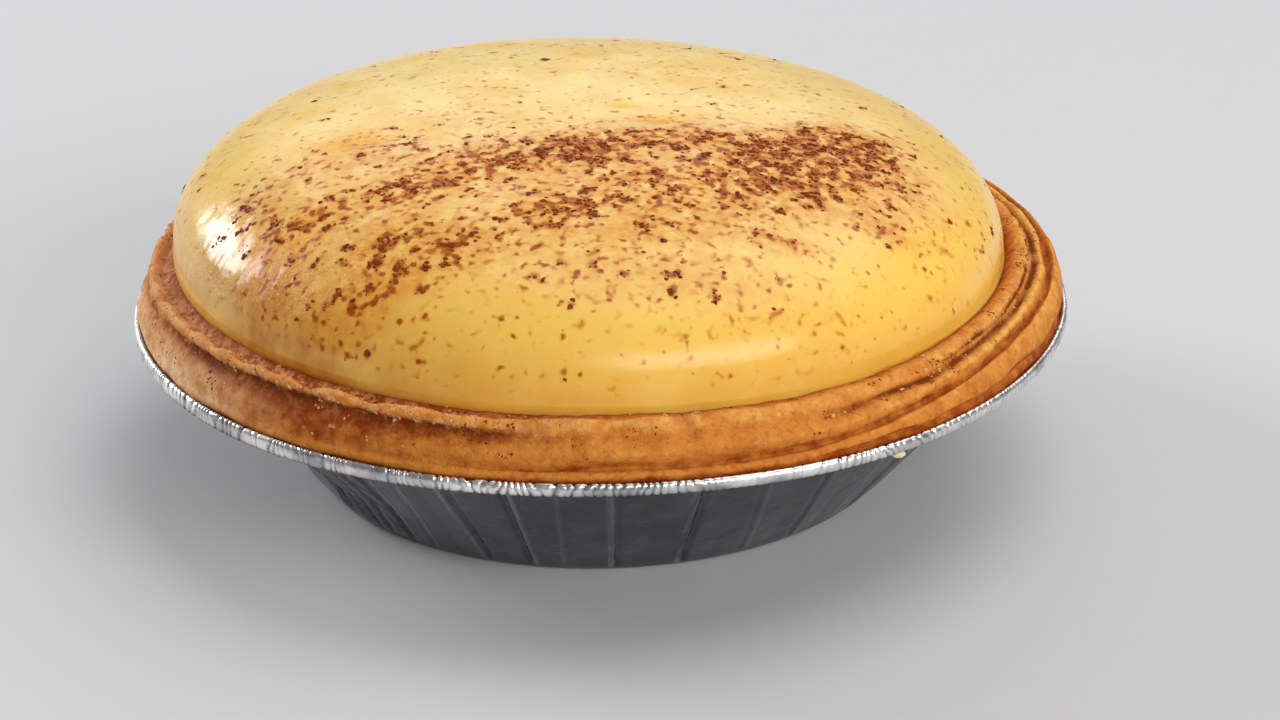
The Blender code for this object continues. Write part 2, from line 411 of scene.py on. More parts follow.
# %% Shared group: clumps
clumps, given, made = new_tree(
    SHADER,
    "clumps",
    (
        ("Dusting", "Float", 0.5),
        ("Size", "Float", 1.5 * MM),
        ("Seed", "Float", 1.0),
        ("Sparse Level", "Float", 0.7),
        ("Dense Level", "Float", 0.45),
        ("Spread", "Float", 0.03),
    ),
    (("Mask", "Float"),),
)
place = put(clumps, "ShaderNodeTexCoord").outputs["Object"]
feed(clumps, made["Mask"], clump_rule(clumps, place, *list(given)[:6]))
print("clumps puts out", [socket.name for socket in made if socket.name])

# %% Shared group: grain
grain, given, made = new_tree(
    SHADER,
    "grain",
    (("Coarse Size", "Float", 1 * MM), ("Fine Size", "Float", 0.2 * MM), ("Fine Share", "Float", 0.4)),
    (("Height", "Float"),),
)
coarse = speckle_noise(grain, given["Coarse Size"])
fine = speckle_noise(grain, given["Fine Size"], detail=2.0)
fine = calc(grain, "MULTIPLY", fine, given["Fine Share"])
feed(grain, made["Height"], calc(grain, "ADD", coarse, fine))
print("grain puts out", [socket.name for socket in made if socket.name])


# %% Material helpers
def rgb(red, green, blue):
    """Linear colour for a screen colour given from 0 to 255."""
    shares = [level / 255.0 for level in (red, green, blue)]
    linear = [s / 12.92 if s <= 0.04045 else ((s + 0.055) / 1.055) ** 2.4 for s in shares]
    return (*linear, 1.0)


def finish(name, **plain):
    """New material; returns it with its tree and its shader, whose plain values are set."""
    material = bpy.data.materials.new(name)
    material.use_nodes = True
    tree = material.node_tree
    shader = tree.nodes["Principled BSDF"]
    for label, value in plain.items():
        shader.inputs[label.replace("_", " ")].default_value = value
    return material, tree, shader


def use(tree, group, **feeds):
    """Place a shared group in a material; gives its outputs."""
    node = put(tree, "ShaderNodeGroup", node_tree=group)
    for label, value in feeds.items():
        feed(tree, node.inputs[label.replace("_", " ")], value)
    return node.outputs


def marked(tree, name):
    """Value that a piece's own attribute holds at each point."""
    return put(tree, "ShaderNodeAttribute", attribute_name=name).outputs["Fac"]


def texture_from(tree, shader, height, distance, strength=1.0):
    """Let a height shape the shader's normal through a Bump node."""
    feeds = {"Height": height, "Distance": distance, "Strength": strength}
    feed(tree, shader.inputs["Normal"], put(tree, "ShaderNodeBump", feeds).outputs[0])


print("custard yellow is", [round(part, 3) for part in rgb(232, 188, 81)[:3]], "in linear colour")

# %% [markdown]
# ## Foil finish
#
# Tart foil is bright rolled aluminium: a metal with a low roughness that changes a
# little from place to place, because the sheet was rubbed when it was pressed and
# baked. Patches of duller metal and faint grain break the reflections up. The wall
# below the flange is painted a dark grey, a painted dark reflection, while the rim
# keeps the bright colour of the foil. The crease hollows carry painted shade and the
# crease ridges painted highlight.

# %% Foil material
foil, tree, shader = finish("pressed_foil", Metallic=1.0)
place = put(tree, "ShaderNodeTexCoord").outputs["Object"]
_, _, height = put(tree, "ShaderNodeSeparateXYZ", (place,)).outputs
# Painted dark reflection: the wall below the flange is tinted dark grey, as if it mirrored a dark surface, and the rim
# stays bright.
on_wall = between(tree, height, 18.9 * MM, 19.7 * MM, 1.0, 0.0)
metal = tint(tree, on_wall, rgb(252, 250, 248), rgb(94, 94, 97))
metal = use(tree, blotches, Colour=metal, Blotch=rgb(128, 128, 131), Size=6 * MM, Cover=0.3, Softness=0.25)["Colour"]
# Painted shade darkens the crease hollows and the rim's crimp nicks; painted highlight lightens the crease ridges.
metal = tint(tree, calc(tree, "MULTIPLY", marked(tree, "valley"), 0.85), metal, rgb(66, 66, 70))
metal = tint(tree, calc(tree, "MULTIPLY", marked(tree, "ridge"), 0.85), metal, rgb(226, 226, 228))
feed(tree, shader.inputs["Base Color"], metal)
rub = use(tree, blotches, Size=3 * MM, Cover=0.5, Softness=0.3)["Mask"]
feed(tree, shader.inputs["Roughness"], between(tree, rub, 0.0, 1.0, between(tree, on_wall, 0.0, 1.0, 0.34, 0.16), 0.30))
texture_from(tree, shader, use(tree, grain, Coarse_Size=2.5 * MM, Fine_Size=0.5 * MM, Fine_Share=0.2)["Height"], 0.05 * MM)
print("foil is ready:", foil.name)

# %% [markdown]
# ## The tin
#
# The tin was pressed from a flat disc. A disc has too much edge for a bowl, so the
# spare foil gathers in sharp creases up the wall, about thirty of them, with flat
# panels between. Each crease is a raised fold with a hollow beside it.
#
# The wall is turned as a smooth skin first. The creases are drawn as lines on it, and
# a Geometry Nodes tree lifts the foil near one set of lines and sinks it near the
# other. Distance to a line is all it needs, so the folds can lean, crowd together or
# fade, as real ones do.

# %% Outline of the tin
RIM_RADIUS = 0.0580
RIM_TOP = 0.0211
FLANGE_HEIGHT = 0.0200
FOIL = 0.00035
WALL_TOP_RADIUS = 0.0533
WALL_TOP = 0.0197
FOOT_HEIGHT = 0.0007
WALL_RUN = WALL_TOP_RADIUS - FOOT_RADIUS
WALL_RISE = WALL_TOP - FOOT_HEIGHT
TIN_STEPS = 1080

# (radius, height) in millimetres, and the steps from each point to the next.
TIN_OUTLINE = (
    (12.0, 0.0, 1),
    (30.0, 0.0, 1),
    (35.7, 0.0, 4),
    (36.8, 0.7, 42),
    (53.15, 19.55, 5),
    (53.8, 20.0, 6),
    (57.3, 20.0, 2),
    (57.42, 20.18, 2),
    (57.3, 20.35, 4),
    (53.45, 20.35, 2),
    (52.8, 19.9, 12),
    (36.3, 0.9, 3),
    (35.4, 0.35, 1),
    (20.0, 0.35, 0),
)


def wall_radius(z):
    """Outer radius of the tin's sloping wall at height z."""
    return FOOT_RADIUS + WALL_RUN * (z - FOOT_HEIGHT) / WALL_RISE


angles = ring(TIN_STEPS)
corners = [on_axis(angles, radius * MM, height * MM) for radius, height, _ in TIN_OUTLINE]
sheet, _ = flowing(np.stack(corners, axis=1), [steps for _, _, steps in TIN_OUTLINE[:-1]])
tin_dish = skin("tin_dish", bend(sheet), (0.0, 0.0, 0.0), (0.0, 0.0, FOIL))
print("the plain dish has", len(tin_dish.data.polygons), "faces")

# %% Lines for the creases
PLEATS = 30
# Creases that show on the front, as degrees at the wall's top and foot, strength, and
# the side on which the hollow lies.
FRONT_CREASES = (
    (-138.0, -141.0, 0.8, 1),
    (-134.0, -138.0, 1.1, 1),
    (-131.0, -134.5, 0.9, 1),
    (-127.5, -129.5, 1.2, 1),
    (-123.5, -126.5, 0.5, -1),
    (-118.5, -122.0, 0.3, -1),
    (-113.0, -112.5, 0.8, 1),
    (-102.5, -102.5, 0.8, -1),
    (-96.0, -97.5, 0.15, 1),
    (-89.4, -89.0, 1.0, 1),
    (-77.9, -76.9, 1.3, 1),
    (-68.5, -63.5, 0.25, -1),
    (-58.5, -52.5, 0.45, -1),
    (-50.0, -45.0, 0.25, 1),
)
HOLLOW_BESIDE = math.radians(1.15)


def crease_list():
    """All creases: the ones at the front, and evenly pressed ones with small slips behind."""
    draw = np.random.default_rng(11)
    found = [(math.radians(top), math.radians(foot), strength, side) for top, foot, strength, side in FRONT_CREASES]
    pitch = TURN / PLEATS
    for pleat in range(PLEATS):
        middle = math.radians(-40) + pleat * pitch
        if middle < math.radians(217):
            slip, lean = draw.normal(0.0, 0.12, 2) * pitch
            found.append((middle + slip, middle + slip + lean, draw.uniform(0.2, 1.1), draw.choice((-1, 1))))
    return found


def line_object(name, lines, strengths):
    """Object of open lines on the wall, each with its own strength."""
    points, edges, weights = [], [], []
    for line, strength in zip(lines, strengths):
        first = len(points)
        points += line
        edges += [(first + step, first + step + 1) for step in range(len(line) - 1)]
        weights += [strength] * len(line)
    mesh = bpy.data.meshes.new(name)
    mesh.from_pydata(points, edges, [])
    mesh.attributes.new("strength", "FLOAT", "POINT").data.foreach_set("value", weights)
    drawn = bpy.data.objects.new(name, mesh)
    bpy.context.scene.collection.objects.link(drawn)
    return drawn


def up_the_wall(top, foot, aside):
    """Points of one crease from the foot to the flange, pushed aside by an angle."""
    shares = np.linspace(0.0, 1.0, 9)
    heights = mix(FOOT_HEIGHT, WALL_TOP, shares)
    places = on_axis(mix(foot, top, shares) + aside, wall_radius(heights), heights)
    flange = on_axis(top + aside, 0.0565, FLANGE_HEIGHT)
    return bend(np.concatenate((places, flange[None]))).tolist()


creases = crease_list()
powers = [strength for _, _, strength, _ in creases]
ridge_lines = line_object("ridge_lines", [up_the_wall(top, foot, 0.0) for top, foot, _, _ in creases], powers)
hollows = [up_the_wall(top, foot, side * HOLLOW_BESIDE) for top, foot, _, side in creases]
valley_lines = line_object("valley_lines", hollows, powers)
print(len(creases), "creases,", len(FRONT_CREASES), "of them at the front")

# %% Geometry Nodes: press the creases
press, given, made = new_tree(
    "GeometryNodeTree",
    "press creases",
    (
        ("Sheet", "Geometry", None),
        ("Ridge Lines", "Object", None),
        ("Valley Lines", "Object", None),
        ("Ridge Height", "Float", 0.3 * MM),
        ("Valley Depth", "Float", 0.3 * MM),
        ("Crease Width", "Float", 0.6 * MM),
        ("Panel Hollow", "Float", 0.2 * MM),
        ("Dimple Depth", "Float", 0.08 * MM),
        ("Foil", "Material", None),
    ),
    (("Sheet", "Geometry"),),
)
here = put(press, "GeometryNodeInputPosition").outputs[0]
x, y, z = put(press, "ShaderNodeSeparateXYZ", (here,)).outputs


def near_lines(lines, width):
    """How far away the lines are, and their strength where they are near."""
    wires = put(press, "GeometryNodeObjectInfo", {"Object": lines}).outputs["Geometry"]
    away = put(press, "GeometryNodeProximity", (wires,), target_element="EDGES").outputs["Distance"]
    nearest = put(press, "GeometryNodeSampleNearest", (wires,), domain="POINT").outputs[0]
    power = put(press, "GeometryNodeInputNamedAttribute", {"Name": "strength"}, data_type="FLOAT").outputs[0]
    feeds = {"Geometry": wires, "Value": power, "Index": nearest}
    strength = put(press, "GeometryNodeSampleIndex", feeds, data_type="FLOAT", domain="POINT").outputs[0]
    return away, calc(press, "MULTIPLY", between(press, away, width, 0.0), strength)


ridge_away, ridge = near_lines(given["Ridge Lines"], given["Crease Width"])
_, valley = near_lines(given["Valley Lines"], calc(press, "MULTIPLY", given["Crease Width"], 1.3))
out = calc(press, "MULTIPLY", ridge, given["Ridge Height"])
out = calc(press, "SUBTRACT", out, calc(press, "MULTIPLY", valley, given["Valley Depth"]))
panel = calc(press, "MULTIPLY", between(press, ridge_away, 0.0, 5 * MM), given["Panel Hollow"])
out = calc(press, "SUBTRACT", out, panel)
pits = put(press, "ShaderNodeTexNoise", {"Vector": here, "Scale": 1 / (4 * MM), "Detail": 1.0}).outputs[0]
pits = calc(press, "MULTIPLY", between(press, pits, 0.60, 0.72), given["Dimple Depth"])
out = calc(press, "SUBTRACT", out, pits)
across = calc(press, "SQRT", calc(press, "ADD", calc(press, "MULTIPLY", x, x), calc(press, "MULTIPLY", y, y)))
wall_only = calc(
    press,
    "MULTIPLY",
    between(press, z, 0.1 * MM, 2.5 * MM),
    between(press, across, 57.0 * MM, 54.5 * MM),
)
out = calc(press, "MULTIPLY", out, wall_only)
level_way = put(press, "ShaderNodeCombineXYZ", (x, y, 0.0)).outputs[0]
outward_way = put(press, "ShaderNodeVectorMath", (level_way,), operation="NORMALIZE").outputs[0]
offset = put(press, "ShaderNodeVectorMath", {0: outward_way, "Scale": out}, operation="SCALE").outputs[0]
moved = put(press, "GeometryNodeSetPosition", {"Geometry": given["Sheet"], "Offset": offset}).outputs[0]
# The ridge and valley strengths are kept as marks, so the foil finish can paint highlight on the ridges and shade in
# the valleys.
for name, fold in (("ridge", ridge), ("valley", valley)):
    feeds = {"Geometry": moved, "Name": name, "Value": calc(press, "MULTIPLY", fold, wall_only)}
    moved = put(press, "GeometryNodeStoreNamedAttribute", feeds, data_type="FLOAT", domain="POINT").outputs[0]
real = put(press, "GeometryNodeRealizeInstances", (moved,)).outputs[0]
coated = put(press, "GeometryNodeSetMaterial", {"Geometry": real, "Material": given["Foil"]}).outputs[0]
feed(press, made["Sheet"], coated)

dress(
    tin_dish,
    press,
    ridge_lines=ridge_lines,
    valley_lines=valley_lines,
    ridge_height=0.45 * MM,
    valley_depth=0.50 * MM,
    crease_width=0.42 * MM,
    panel_hollow=0.30 * MM,
    dimple_depth=0.06 * MM,
    foil=foil,
)
for helper in (ridge_lines, valley_lines):
    bpy.data.objects.remove(helper)

# %% [markdown]
# ## The rolled rim
#
# The cut edge of the foil is rolled under into a bead, so it is safe to touch. The
# roll bends a flat strip round a circle, and the foil takes up the slack in fine
# crimps, about a millimetre apart and never alike. On some stretches the roll was
# rubbed smooth. A tree sweeps an oval along the rim's path and nicks it at each
# crimp. The path carries marks that say how strongly it is crimped and how far the
# roll hangs down, which is a little more at the front left.

# %% Path of the rim
BEAD_WIDTH = 0.0010
BEAD_HEIGHT = 0.0014
RIM_STEPS = 3000
RUBBED = (
    (math.radians(-73), math.radians(10), 0.75),
    (math.radians(-30), math.radians(30), 0.55),
    (math.radians(-174), math.radians(20), 0.8),
)

rim_angles = ring(RIM_STEPS)
rim_path = bend(on_axis(rim_angles, RIM_RADIUS - BEAD_WIDTH / 2, RIM_TOP - BEAD_HEIGHT / 2))
crimped = 1.0 - sum(rub * bump(turn_between(rim_angles, middle), width) for middle, width, rub in RUBBED)
mesh = bpy.data.meshes.new("rolled_rim")
mesh.from_pydata(rim_path.tolist(), [(step, (step + 1) % RIM_STEPS) for step in range(RIM_STEPS)], [])
hang = 0.12 + 0.40 * bump(turn_between(rim_angles, math.radians(-143)), math.radians(30))
for mark, values in (("crimped", crimped), ("hang", hang), ("spine", rim_path[:, 2])):
    mesh.attributes.new(mark, "FLOAT", "POINT").data.foreach_set("value", values)
rolled_rim = bpy.data.objects.new("rolled_rim", mesh)
bpy.context.scene.collection.objects.link(rolled_rim)
print("the rim's path is", round(TURN * (RIM_RADIUS - BEAD_WIDTH / 2) * 1000), "mm round")

# %% Geometry Nodes: roll and crimp the rim
roll, given, made = new_tree(
    "GeometryNodeTree",
    "roll and crimp",
    (
        ("Path", "Geometry", None),
        ("Bead Width", "Float", BEAD_WIDTH),
        ("Bead Height", "Float", BEAD_HEIGHT),
        ("Sides", "Int", 14),
        ("Crimps", "Int", 330),
        ("Crimp Depth", "Float", 0.12 * MM),
        ("Swell", "Float", 0.05 * MM),
        ("Seed", "Int", 1),
        ("Foil", "Material", None),
    ),
    (("Rim", "Geometry"),),
)
path = put(roll, "GeometryNodeMeshToCurve", (given["Path"],)).outputs[0]
path = put(roll, "GeometryNodeSetCurveNormal", (path,), mode="Z_UP").outputs[0]
oval = put(roll, "GeometryNodeCurvePrimitiveCircle", {"Resolution": given["Sides"], "Radius": 0.5}).outputs[0]
oval_size = put(roll, "ShaderNodeCombineXYZ", (given["Bead Width"], given["Bead Height"], 1.0)).outputs[0]
oval = put(roll, "GeometryNodeTransform", {"Geometry": oval, "Scale": oval_size}).outputs[0]
bead = put(roll, "GeometryNodeCurveToMesh", {"Curve": path, "Profile Curve": oval}).outputs[0]

here = put(roll, "GeometryNodeInputPosition").outputs[0]
x, y, z = put(roll, "ShaderNodeSeparateXYZ", (here,)).outputs
turn = calc(roll, "DIVIDE", calc(roll, "ARCTAN2", y, x), TURN)
slip = put(roll, "ShaderNodeTexNoise", {"Vector": here, "Scale": 1 / (4 * MM), "Detail": 1.0}).outputs[0]
spot = calc(roll, "ADD", calc(roll, "MULTIPLY", turn, given["Crimps"]), calc(roll, "MULTIPLY", slip, 5.0))
nearest = calc(roll, "ROUND", spot)
away = calc(roll, "ABSOLUTE", calc(roll, "SUBTRACT", spot, nearest))
number = calc(roll, "FLOORED_MODULO", nearest, given["Crimps"])
draw = put(roll, "FunctionNodeRandomValue", {"ID": number, "Seed": given["Seed"]}, data_type="FLOAT").outputs[1]
nick = calc(roll, "MULTIPLY", between(roll, away, 0.26, 0.0), calc(roll, "SQRT", draw))
crimped, hang, spine = [
    put(roll, "GeometryNodeInputNamedAttribute", {"Name": mark}, data_type="FLOAT").outputs[0]
    for mark in ("crimped", "hang", "spine")
]
nick = calc(roll, "MULTIPLY", calc(roll, "MULTIPLY", nick, crimped), given["Crimp Depth"])
lumps = put(roll, "ShaderNodeTexNoise", {"Vector": here, "Scale": 1 / (3 * MM), "Detail": 2.0}).outputs[0]
lumps = calc(roll, "MULTIPLY", calc(roll, "SUBTRACT", lumps, 0.6), given["Swell"])
in_or_out = calc(roll, "SUBTRACT", lumps, nick)
normal = put(roll, "GeometryNodeInputNormal").outputs[0]
offset = put(roll, "ShaderNodeVectorMath", {0: normal, "Scale": in_or_out}, operation="SCALE").outputs[0]
under_top = calc(roll, "SUBTRACT", calc(roll, "ADD", spine, calc(roll, "MULTIPLY", given["Bead Height"], 0.5)), z)
down = put(roll, "ShaderNodeCombineXYZ", (0.0, 0.0, calc(roll, "MULTIPLY", calc(roll, "MULTIPLY", under_top, hang), -1.0)))
offset = put(roll, "ShaderNodeVectorMath", (offset, down.outputs[0]), operation="ADD").outputs[0]
moved = put(roll, "GeometryNodeSetPosition", {"Geometry": bead, "Offset": offset}).outputs[0]
rounded = put(roll, "GeometryNodeSetShadeSmooth", {"Geometry": moved}).outputs[0]
# The nick depth is kept as a mark, which the foil finish darkens as painted shade.
feeds = {"Geometry": rounded, "Name": "valley", "Value": calc(roll, "DIVIDE", nick, given["Crimp Depth"])}
rounded = put(roll, "GeometryNodeStoreNamedAttribute", feeds, data_type="FLOAT", domain="POINT").outputs[0]
real = put(roll, "GeometryNodeRealizeInstances", (rounded,)).outputs[0]
coated = put(roll, "GeometryNodeSetMaterial", {"Geometry": real, "Material": given["Foil"]}).outputs[0]
feed(roll, made["Rim"], coated)

dress(rolled_rim, roll, sides=14, crimps=360, crimp_depth=0.30 * MM, swell=0.08 * MM, seed=5, foil=foil)


def measure(piece):
    """Print a piece's lowest and highest corner in millimetres."""
    places = np.empty(len(piece.data.vertices) * 3, np.float32)
    piece.data.vertices.foreach_get("co", places)
    places = places.reshape(-1, 3) * 1000
    print(piece.name, "runs from", places.min(0).round(2).tolist(), "to", places.max(0).round(2).tolist())


measure(tin_dish)
measure(rolled_rim)

# %% [markdown]
# ## The pastry case
#
# Shortcrust is rolled, laid in the tin and pressed over its rim, so the case ends in a
# thick edge of folded layers. At the front the edge shows a lip, a hollow below it and
# a swelling over the foil. Towards the right a second, outer layer climbs from a thin
# strip to the top of the edge. At the left one tall floury face stands under a crumbly
# lip.
#
# Each of the three outlines is a short list of points. The edge at any angle is a
# blend of the three, drawn as a round curve. That keeps the layers running on into
# each other, which three separate strips of mesh could not do.

# %% Outlines of the pastry's edge
GAP = 0.0004
SLANT = math.hypot(WALL_RUN, WALL_RISE) / WALL_RISE
CRUST_WALL = 0.0040
CRUST_FLOOR = 0.0034
CRUST_HEEL = 0.0015
SEAM_HEIGHT = 0.0270
THROAT_DROP = 0.0023
THROAT_INSET = 0.0014
CRUST_STEPS = 1040

# (radius, height above the rim's top) in millimetres: lower edge, face, crest of the
# outer layer, crease, swell of the inner layer, hollow, lip's outside, top and inside.
EDGE_FRONT = (
    (57.20, 0.35),
    (57.35, 0.60),
    (57.00, 0.95),
    (56.40, 1.20),
    (56.80, 3.20),
    (55.80, 4.75),
    (55.40, 5.40),
    (54.50, 6.25),
    (53.60, 6.20),
)
EDGE_RIGHT = (
    (57.20, 0.35),
    (57.30, 2.00),
    (56.25, 4.45),
    (55.40, 4.15),
    (54.60, 5.20),
    (53.50, 5.20),
    (53.00, 5.80),
    (52.20, 6.35),
    (51.00, 6.30),
)
EDGE_LEFT = (
    (57.20, 0.35),
    (57.35, 0.60),
    (57.30, 0.95),
    (57.15, 1.30),
    (56.70, 3.10),
    (55.80, 4.90),
    (55.75, 5.95),
    (55.20, 6.60),
    (53.90, 6.00),
)
LAYER_RISE = (math.radians(-75), math.radians(-18))
LAYER_FALL = (math.radians(45), math.radians(115))
LEFT_MIDDLE = math.radians(-170)
LEFT_REACH = (math.radians(35), math.radians(95))
BACK_MIDDLE = math.radians(100)
BACK_REACH = (math.radians(50), math.radians(110))
BACK_DIP = 0.0010
RIPPLES = ((5, 1.0, 0.00010), (9, 2.3, 0.00008))


def sides(angles):
    """How far each angle belongs to the right outline and to the left one."""
    turn = turn_between(angles, 0.0)
    right = ramp(turn, *LAYER_RISE) * (1.0 - ramp(turn, *LAYER_FALL))
    left = 1.0 - ramp(np.abs(turn_between(angles, LEFT_MIDDLE)), *LEFT_REACH)
    return right, left * (1.0 - right)


def blend_sides(angles, front, right, left):
    """Blend three outlines, or three rows of values, for every angle."""
    right_share, left_share = sides(angles)
    front, right, left = (np.asarray(rows, float) for rows in (front, right, left))
    spread = (slice(None),) + (None,) * front.ndim
    return front + right_share[spread] * (right - front) + left_share[spread] * (left - front)


def edge_controls(angles):
    """Points that the pastry's edge runs through at each angle."""
    outline = blend_sides(angles, EDGE_FRONT, EDGE_RIGHT, EDGE_LEFT) * MM
    uneven = sum(height * np.sin(count * angles + start) for count, start, height in RIPPLES)
    uneven = uneven - BACK_DIP * (1.0 - ramp(np.abs(turn_between(angles, BACK_MIDDLE)), *BACK_REACH))
    above = smooth(np.arange(outline.shape[1]) / (outline.shape[1] - 1))
    heights = RIM_TOP + outline[..., 1] + uneven[:, None] * above
    return on_axis(angles[:, None], outline[..., 0], heights)


middle = edge_controls(np.radians([-90.0, 0.0, 180.0]))[:, 7, 2] * 1000
print("the lip is", middle.round(1).tolist(), "mm high at the front, right and left")

# %% Where custard and pastry meet
CUSTARD_RADIUS = 0.0511
CUSTARD_CENTRE = (-0.0013, 0.0003)
DOME_TILT = -0.026
FRONT_SWELL = 0.030
FRONT_SWELL_WIDTH = math.radians(55)


def on_custard(angles, radius, z):
    """Points at a radius from the custard's middle, which leans with height."""
    angles, radius, z = np.broadcast_arrays(angles, radius, z)
    lean = np.minimum(1.0, z / SEAM_HEIGHT)
    front = bump(turn_between(angles, -math.pi / 2), FRONT_SWELL_WIDTH)
    radius = radius * (1.0 + FRONT_SWELL * front * lean)
    x, y = radius * np.cos(angles), radius * np.sin(angles)
    tilt = DOME_TILT * x * ramp(z, WARP_HEIGHTS[0], SEAM_HEIGHT)
    return np.stack((CUSTARD_CENTRE[0] * lean + x, CUSTARD_CENTRE[1] * lean + y, z + tilt), axis=-1)


def filling_side(angles, tuck):
    """Points down the inside of the case; tuck pulls the topmost one in."""
    depth = (FOIL + GAP + CRUST_WALL) * SLANT
    floor = FOIL + GAP + CRUST_FLOOR
    heel = floor + CRUST_HEEL
    side = [
        (CUSTARD_RADIUS + GAP - tuck, SEAM_HEIGHT - 0.1 * MM),
        (CUSTARD_RADIUS + GAP - THROAT_INSET, SEAM_HEIGHT - THROAT_DROP),
    ]
    for height in (FLANGE_HEIGHT, mix(heel, FLANGE_HEIGHT, 0.5), heel):
        side.append((wall_radius(height) - depth, height))
    side.append((wall_radius(heel) - depth - CRUST_HEEL, floor))
    return [on_custard(angles, radius, height) for radius, height in side]


print("the custard is", round(CUSTARD_RADIUS * 2000, 1), "mm across at the seam")

# %% Skin of the pastry case
# (radius, height) in millimetres of the part that the tin hides, and its steps.
UNDER_TIN = (
    (17.0, 0.75, 1),
    (34.4, 0.75, 2),
    (40.5, 7.0, 2),
    (46.6, 14.0, 2),
    (51.5, 19.6, 2),
    (53.9, 20.38, 2),
    (56.5, 20.38, 2),
    (56.97, 20.75, 3),
)
EDGE_STEPS = (8, 12, 6, 9, 8, 5, 6, 5, 7)
INNER_STEPS = (4, 1, 1, 1, 1)

angles = ring(CRUST_STEPS)
controls = [on_axis(angles, radius * MM, height * MM) for radius, height, _ in UNDER_TIN]
edge = edge_controls(angles)
edge[:, 0, 2] -= 0.25 * MM
controls = np.stack(controls + list(np.moveaxis(edge, 1, 0)) + filling_side(angles, 0.9 * MM), axis=1)
case, stations = flowing(controls, [steps for _, _, steps in UNDER_TIN] + list(EDGE_STEPS) + list(INNER_STEPS))
stations = stations - len(UNDER_TIN)
print("the case has", case.shape[0], "outlines of", case.shape[1], "points")

# %% [markdown]
# ### Layers, grooves, browning and painted shade
#
# The layers part in grooves that open and close along their length, because the
# pastry tore a little as it dried. A groove is pushed into the skin where it runs,
# with a slow random wave that breaks it up and makes it wander. The same numbers are
# kept as marks on the mesh, so the finish can put the dark spice and a painted shade
# exactly where the grooves are.

# %% Grooves and lumps in the pastry
# Station on the edge, half width in stations, depth in millimetres, from and to in
# degrees, and how broken up it is.
GROOVES = (
    (0.45, 0.36, 0.60, -68, -8, 0.3),
    (3.00, 0.26, 0.42, -112, 105, 0.2),
    (5.00, 0.34, 0.34, -66, 62, 0.35),
    (5.95, 0.30, 0.26, -48, 66, 0.5),
    (8.90, 0.30, 0.30, -178, 100, 0.3),
    (5.30, 0.50, 0.45, -160, -96, 0.3),
)


def wander(angles, slowest, fastest, seed):
    """Random wave round the tart, mostly between -1 and 1, that closes on itself."""
    draw = np.random.default_rng(seed)
    counts = np.arange(slowest, fastest + 1)
    sizes = draw.normal(0.0, 1.0, len(counts)) / math.sqrt(len(counts) / 2)
    starts = draw.uniform(0.0, TURN, len(counts))
    return (sizes[:, None] * np.sin(counts[:, None] * angles + starts[:, None])).sum(axis=0)


def window(angles, start, end):
    """1 between two angles given in degrees, easing to 0 over a few degrees."""
    turn = np.degrees(turn_between(angles, math.radians((start + end) / 2)))
    return 1.0 - ramp(np.abs(turn), (end - start) / 2 - 9, (end - start) / 2)


sunk = np.zeros(case.shape[:2])
crevice = np.zeros(case.shape[:2])
for number, (station, width, depth, start, end, broken) in enumerate(GROOVES):
    middle = station + 0.12 * wander(angles, 3, 30, 40 + number)
    present = 1.0 - broken * ramp(wander(angles, 6, 60, 60 + number), -0.2, 1.1)
    shape = bump(stations[None, :] - middle[:, None], width) * (window(angles, start, end) * present)[:, None]
    sunk += depth * MM * shape
    crevice = np.maximum(crevice, shape)
left_share = sides(angles)[1]
lip = bump(stations - 7.0, 1.2)[None, :] * (wander(angles, 14, 80, 7) * (1.0 + 1.2 * left_share))[:, None]
belly = bump(stations - 4.0, 1.3)[None, :] * wander(angles, 6, 34, 8)[:, None]
edge_only = (ramp(stations, -0.6, 0.3) * (1.0 - ramp(stations, 8.8, 9.6)))[None, :]
raised = (0.10 * MM * lip + 0.10 * MM * belly) * edge_only - sunk
case = case + outward(case) * raised[..., None]
print("grooves are up to", round(float(sunk.max()) * 1000, 2), "mm deep")

# %% Marks for the pastry's finish
# Bake by station for the front, right and left outlines. The values are browning, but they rise in the crease, the
# hollow, the lip's inside, the lower edge by the foil and the seam with the custard as painted shade, and fall on the
# left face as painted light.
BAKE_STATIONS = (-1, 0, 1, 2, 3, 4, 5, 6, 7, 8, 9, 10)
BAKE_AND_SHADING_FRONT = (1.0, 0.90, 0.66, 0.48, 0.75, 0.42, 0.62, 0.38, 0.30, 0.66, 1.0, 1.0)
BAKE_AND_SHADING_RIGHT = (1.0, 0.90, 0.46, 0.28, 0.85, 0.06, 0.50, 0.34, 0.28, 0.66, 1.0, 1.0)
BAKE_AND_SHADING_LEFT = (1.0, 0.45, 0.20, 0.12, 0.16, 0.28, 0.85, 0.40, 0.26, 1.0, 1.0, 1.0)
# Flour by station for the front, right and left outlines; on the left face its light colour is also painted light.
FLOUR_AND_LIGHT_FRONT = (0.0, 0.0, 0.0, 0.05, 0.05, 0.12, 0.0, 0.10, 0.15, 0.1, 0.0, 0.0)
FLOUR_AND_LIGHT_RIGHT = (0.0, 0.0, 0.0, 0.0, 0.0, 0.05, 0.0, 0.0, 0.05, 0.1, 0.0, 0.0)
FLOUR_AND_LIGHT_LEFT = (0.0, 0.7, 0.95, 1.0, 1.0, 0.8, 0.0, 0.1, 0.5, 0.3, 0.0, 0.0)


def along_edge(front, right, left):
    """Value at every point of the case from three rows given by station."""
    rows = blend_sides(angles, front, right, left)
    fine = [np.interp(stations, BAKE_STATIONS, row) for row in rows]
    return np.array(fine)


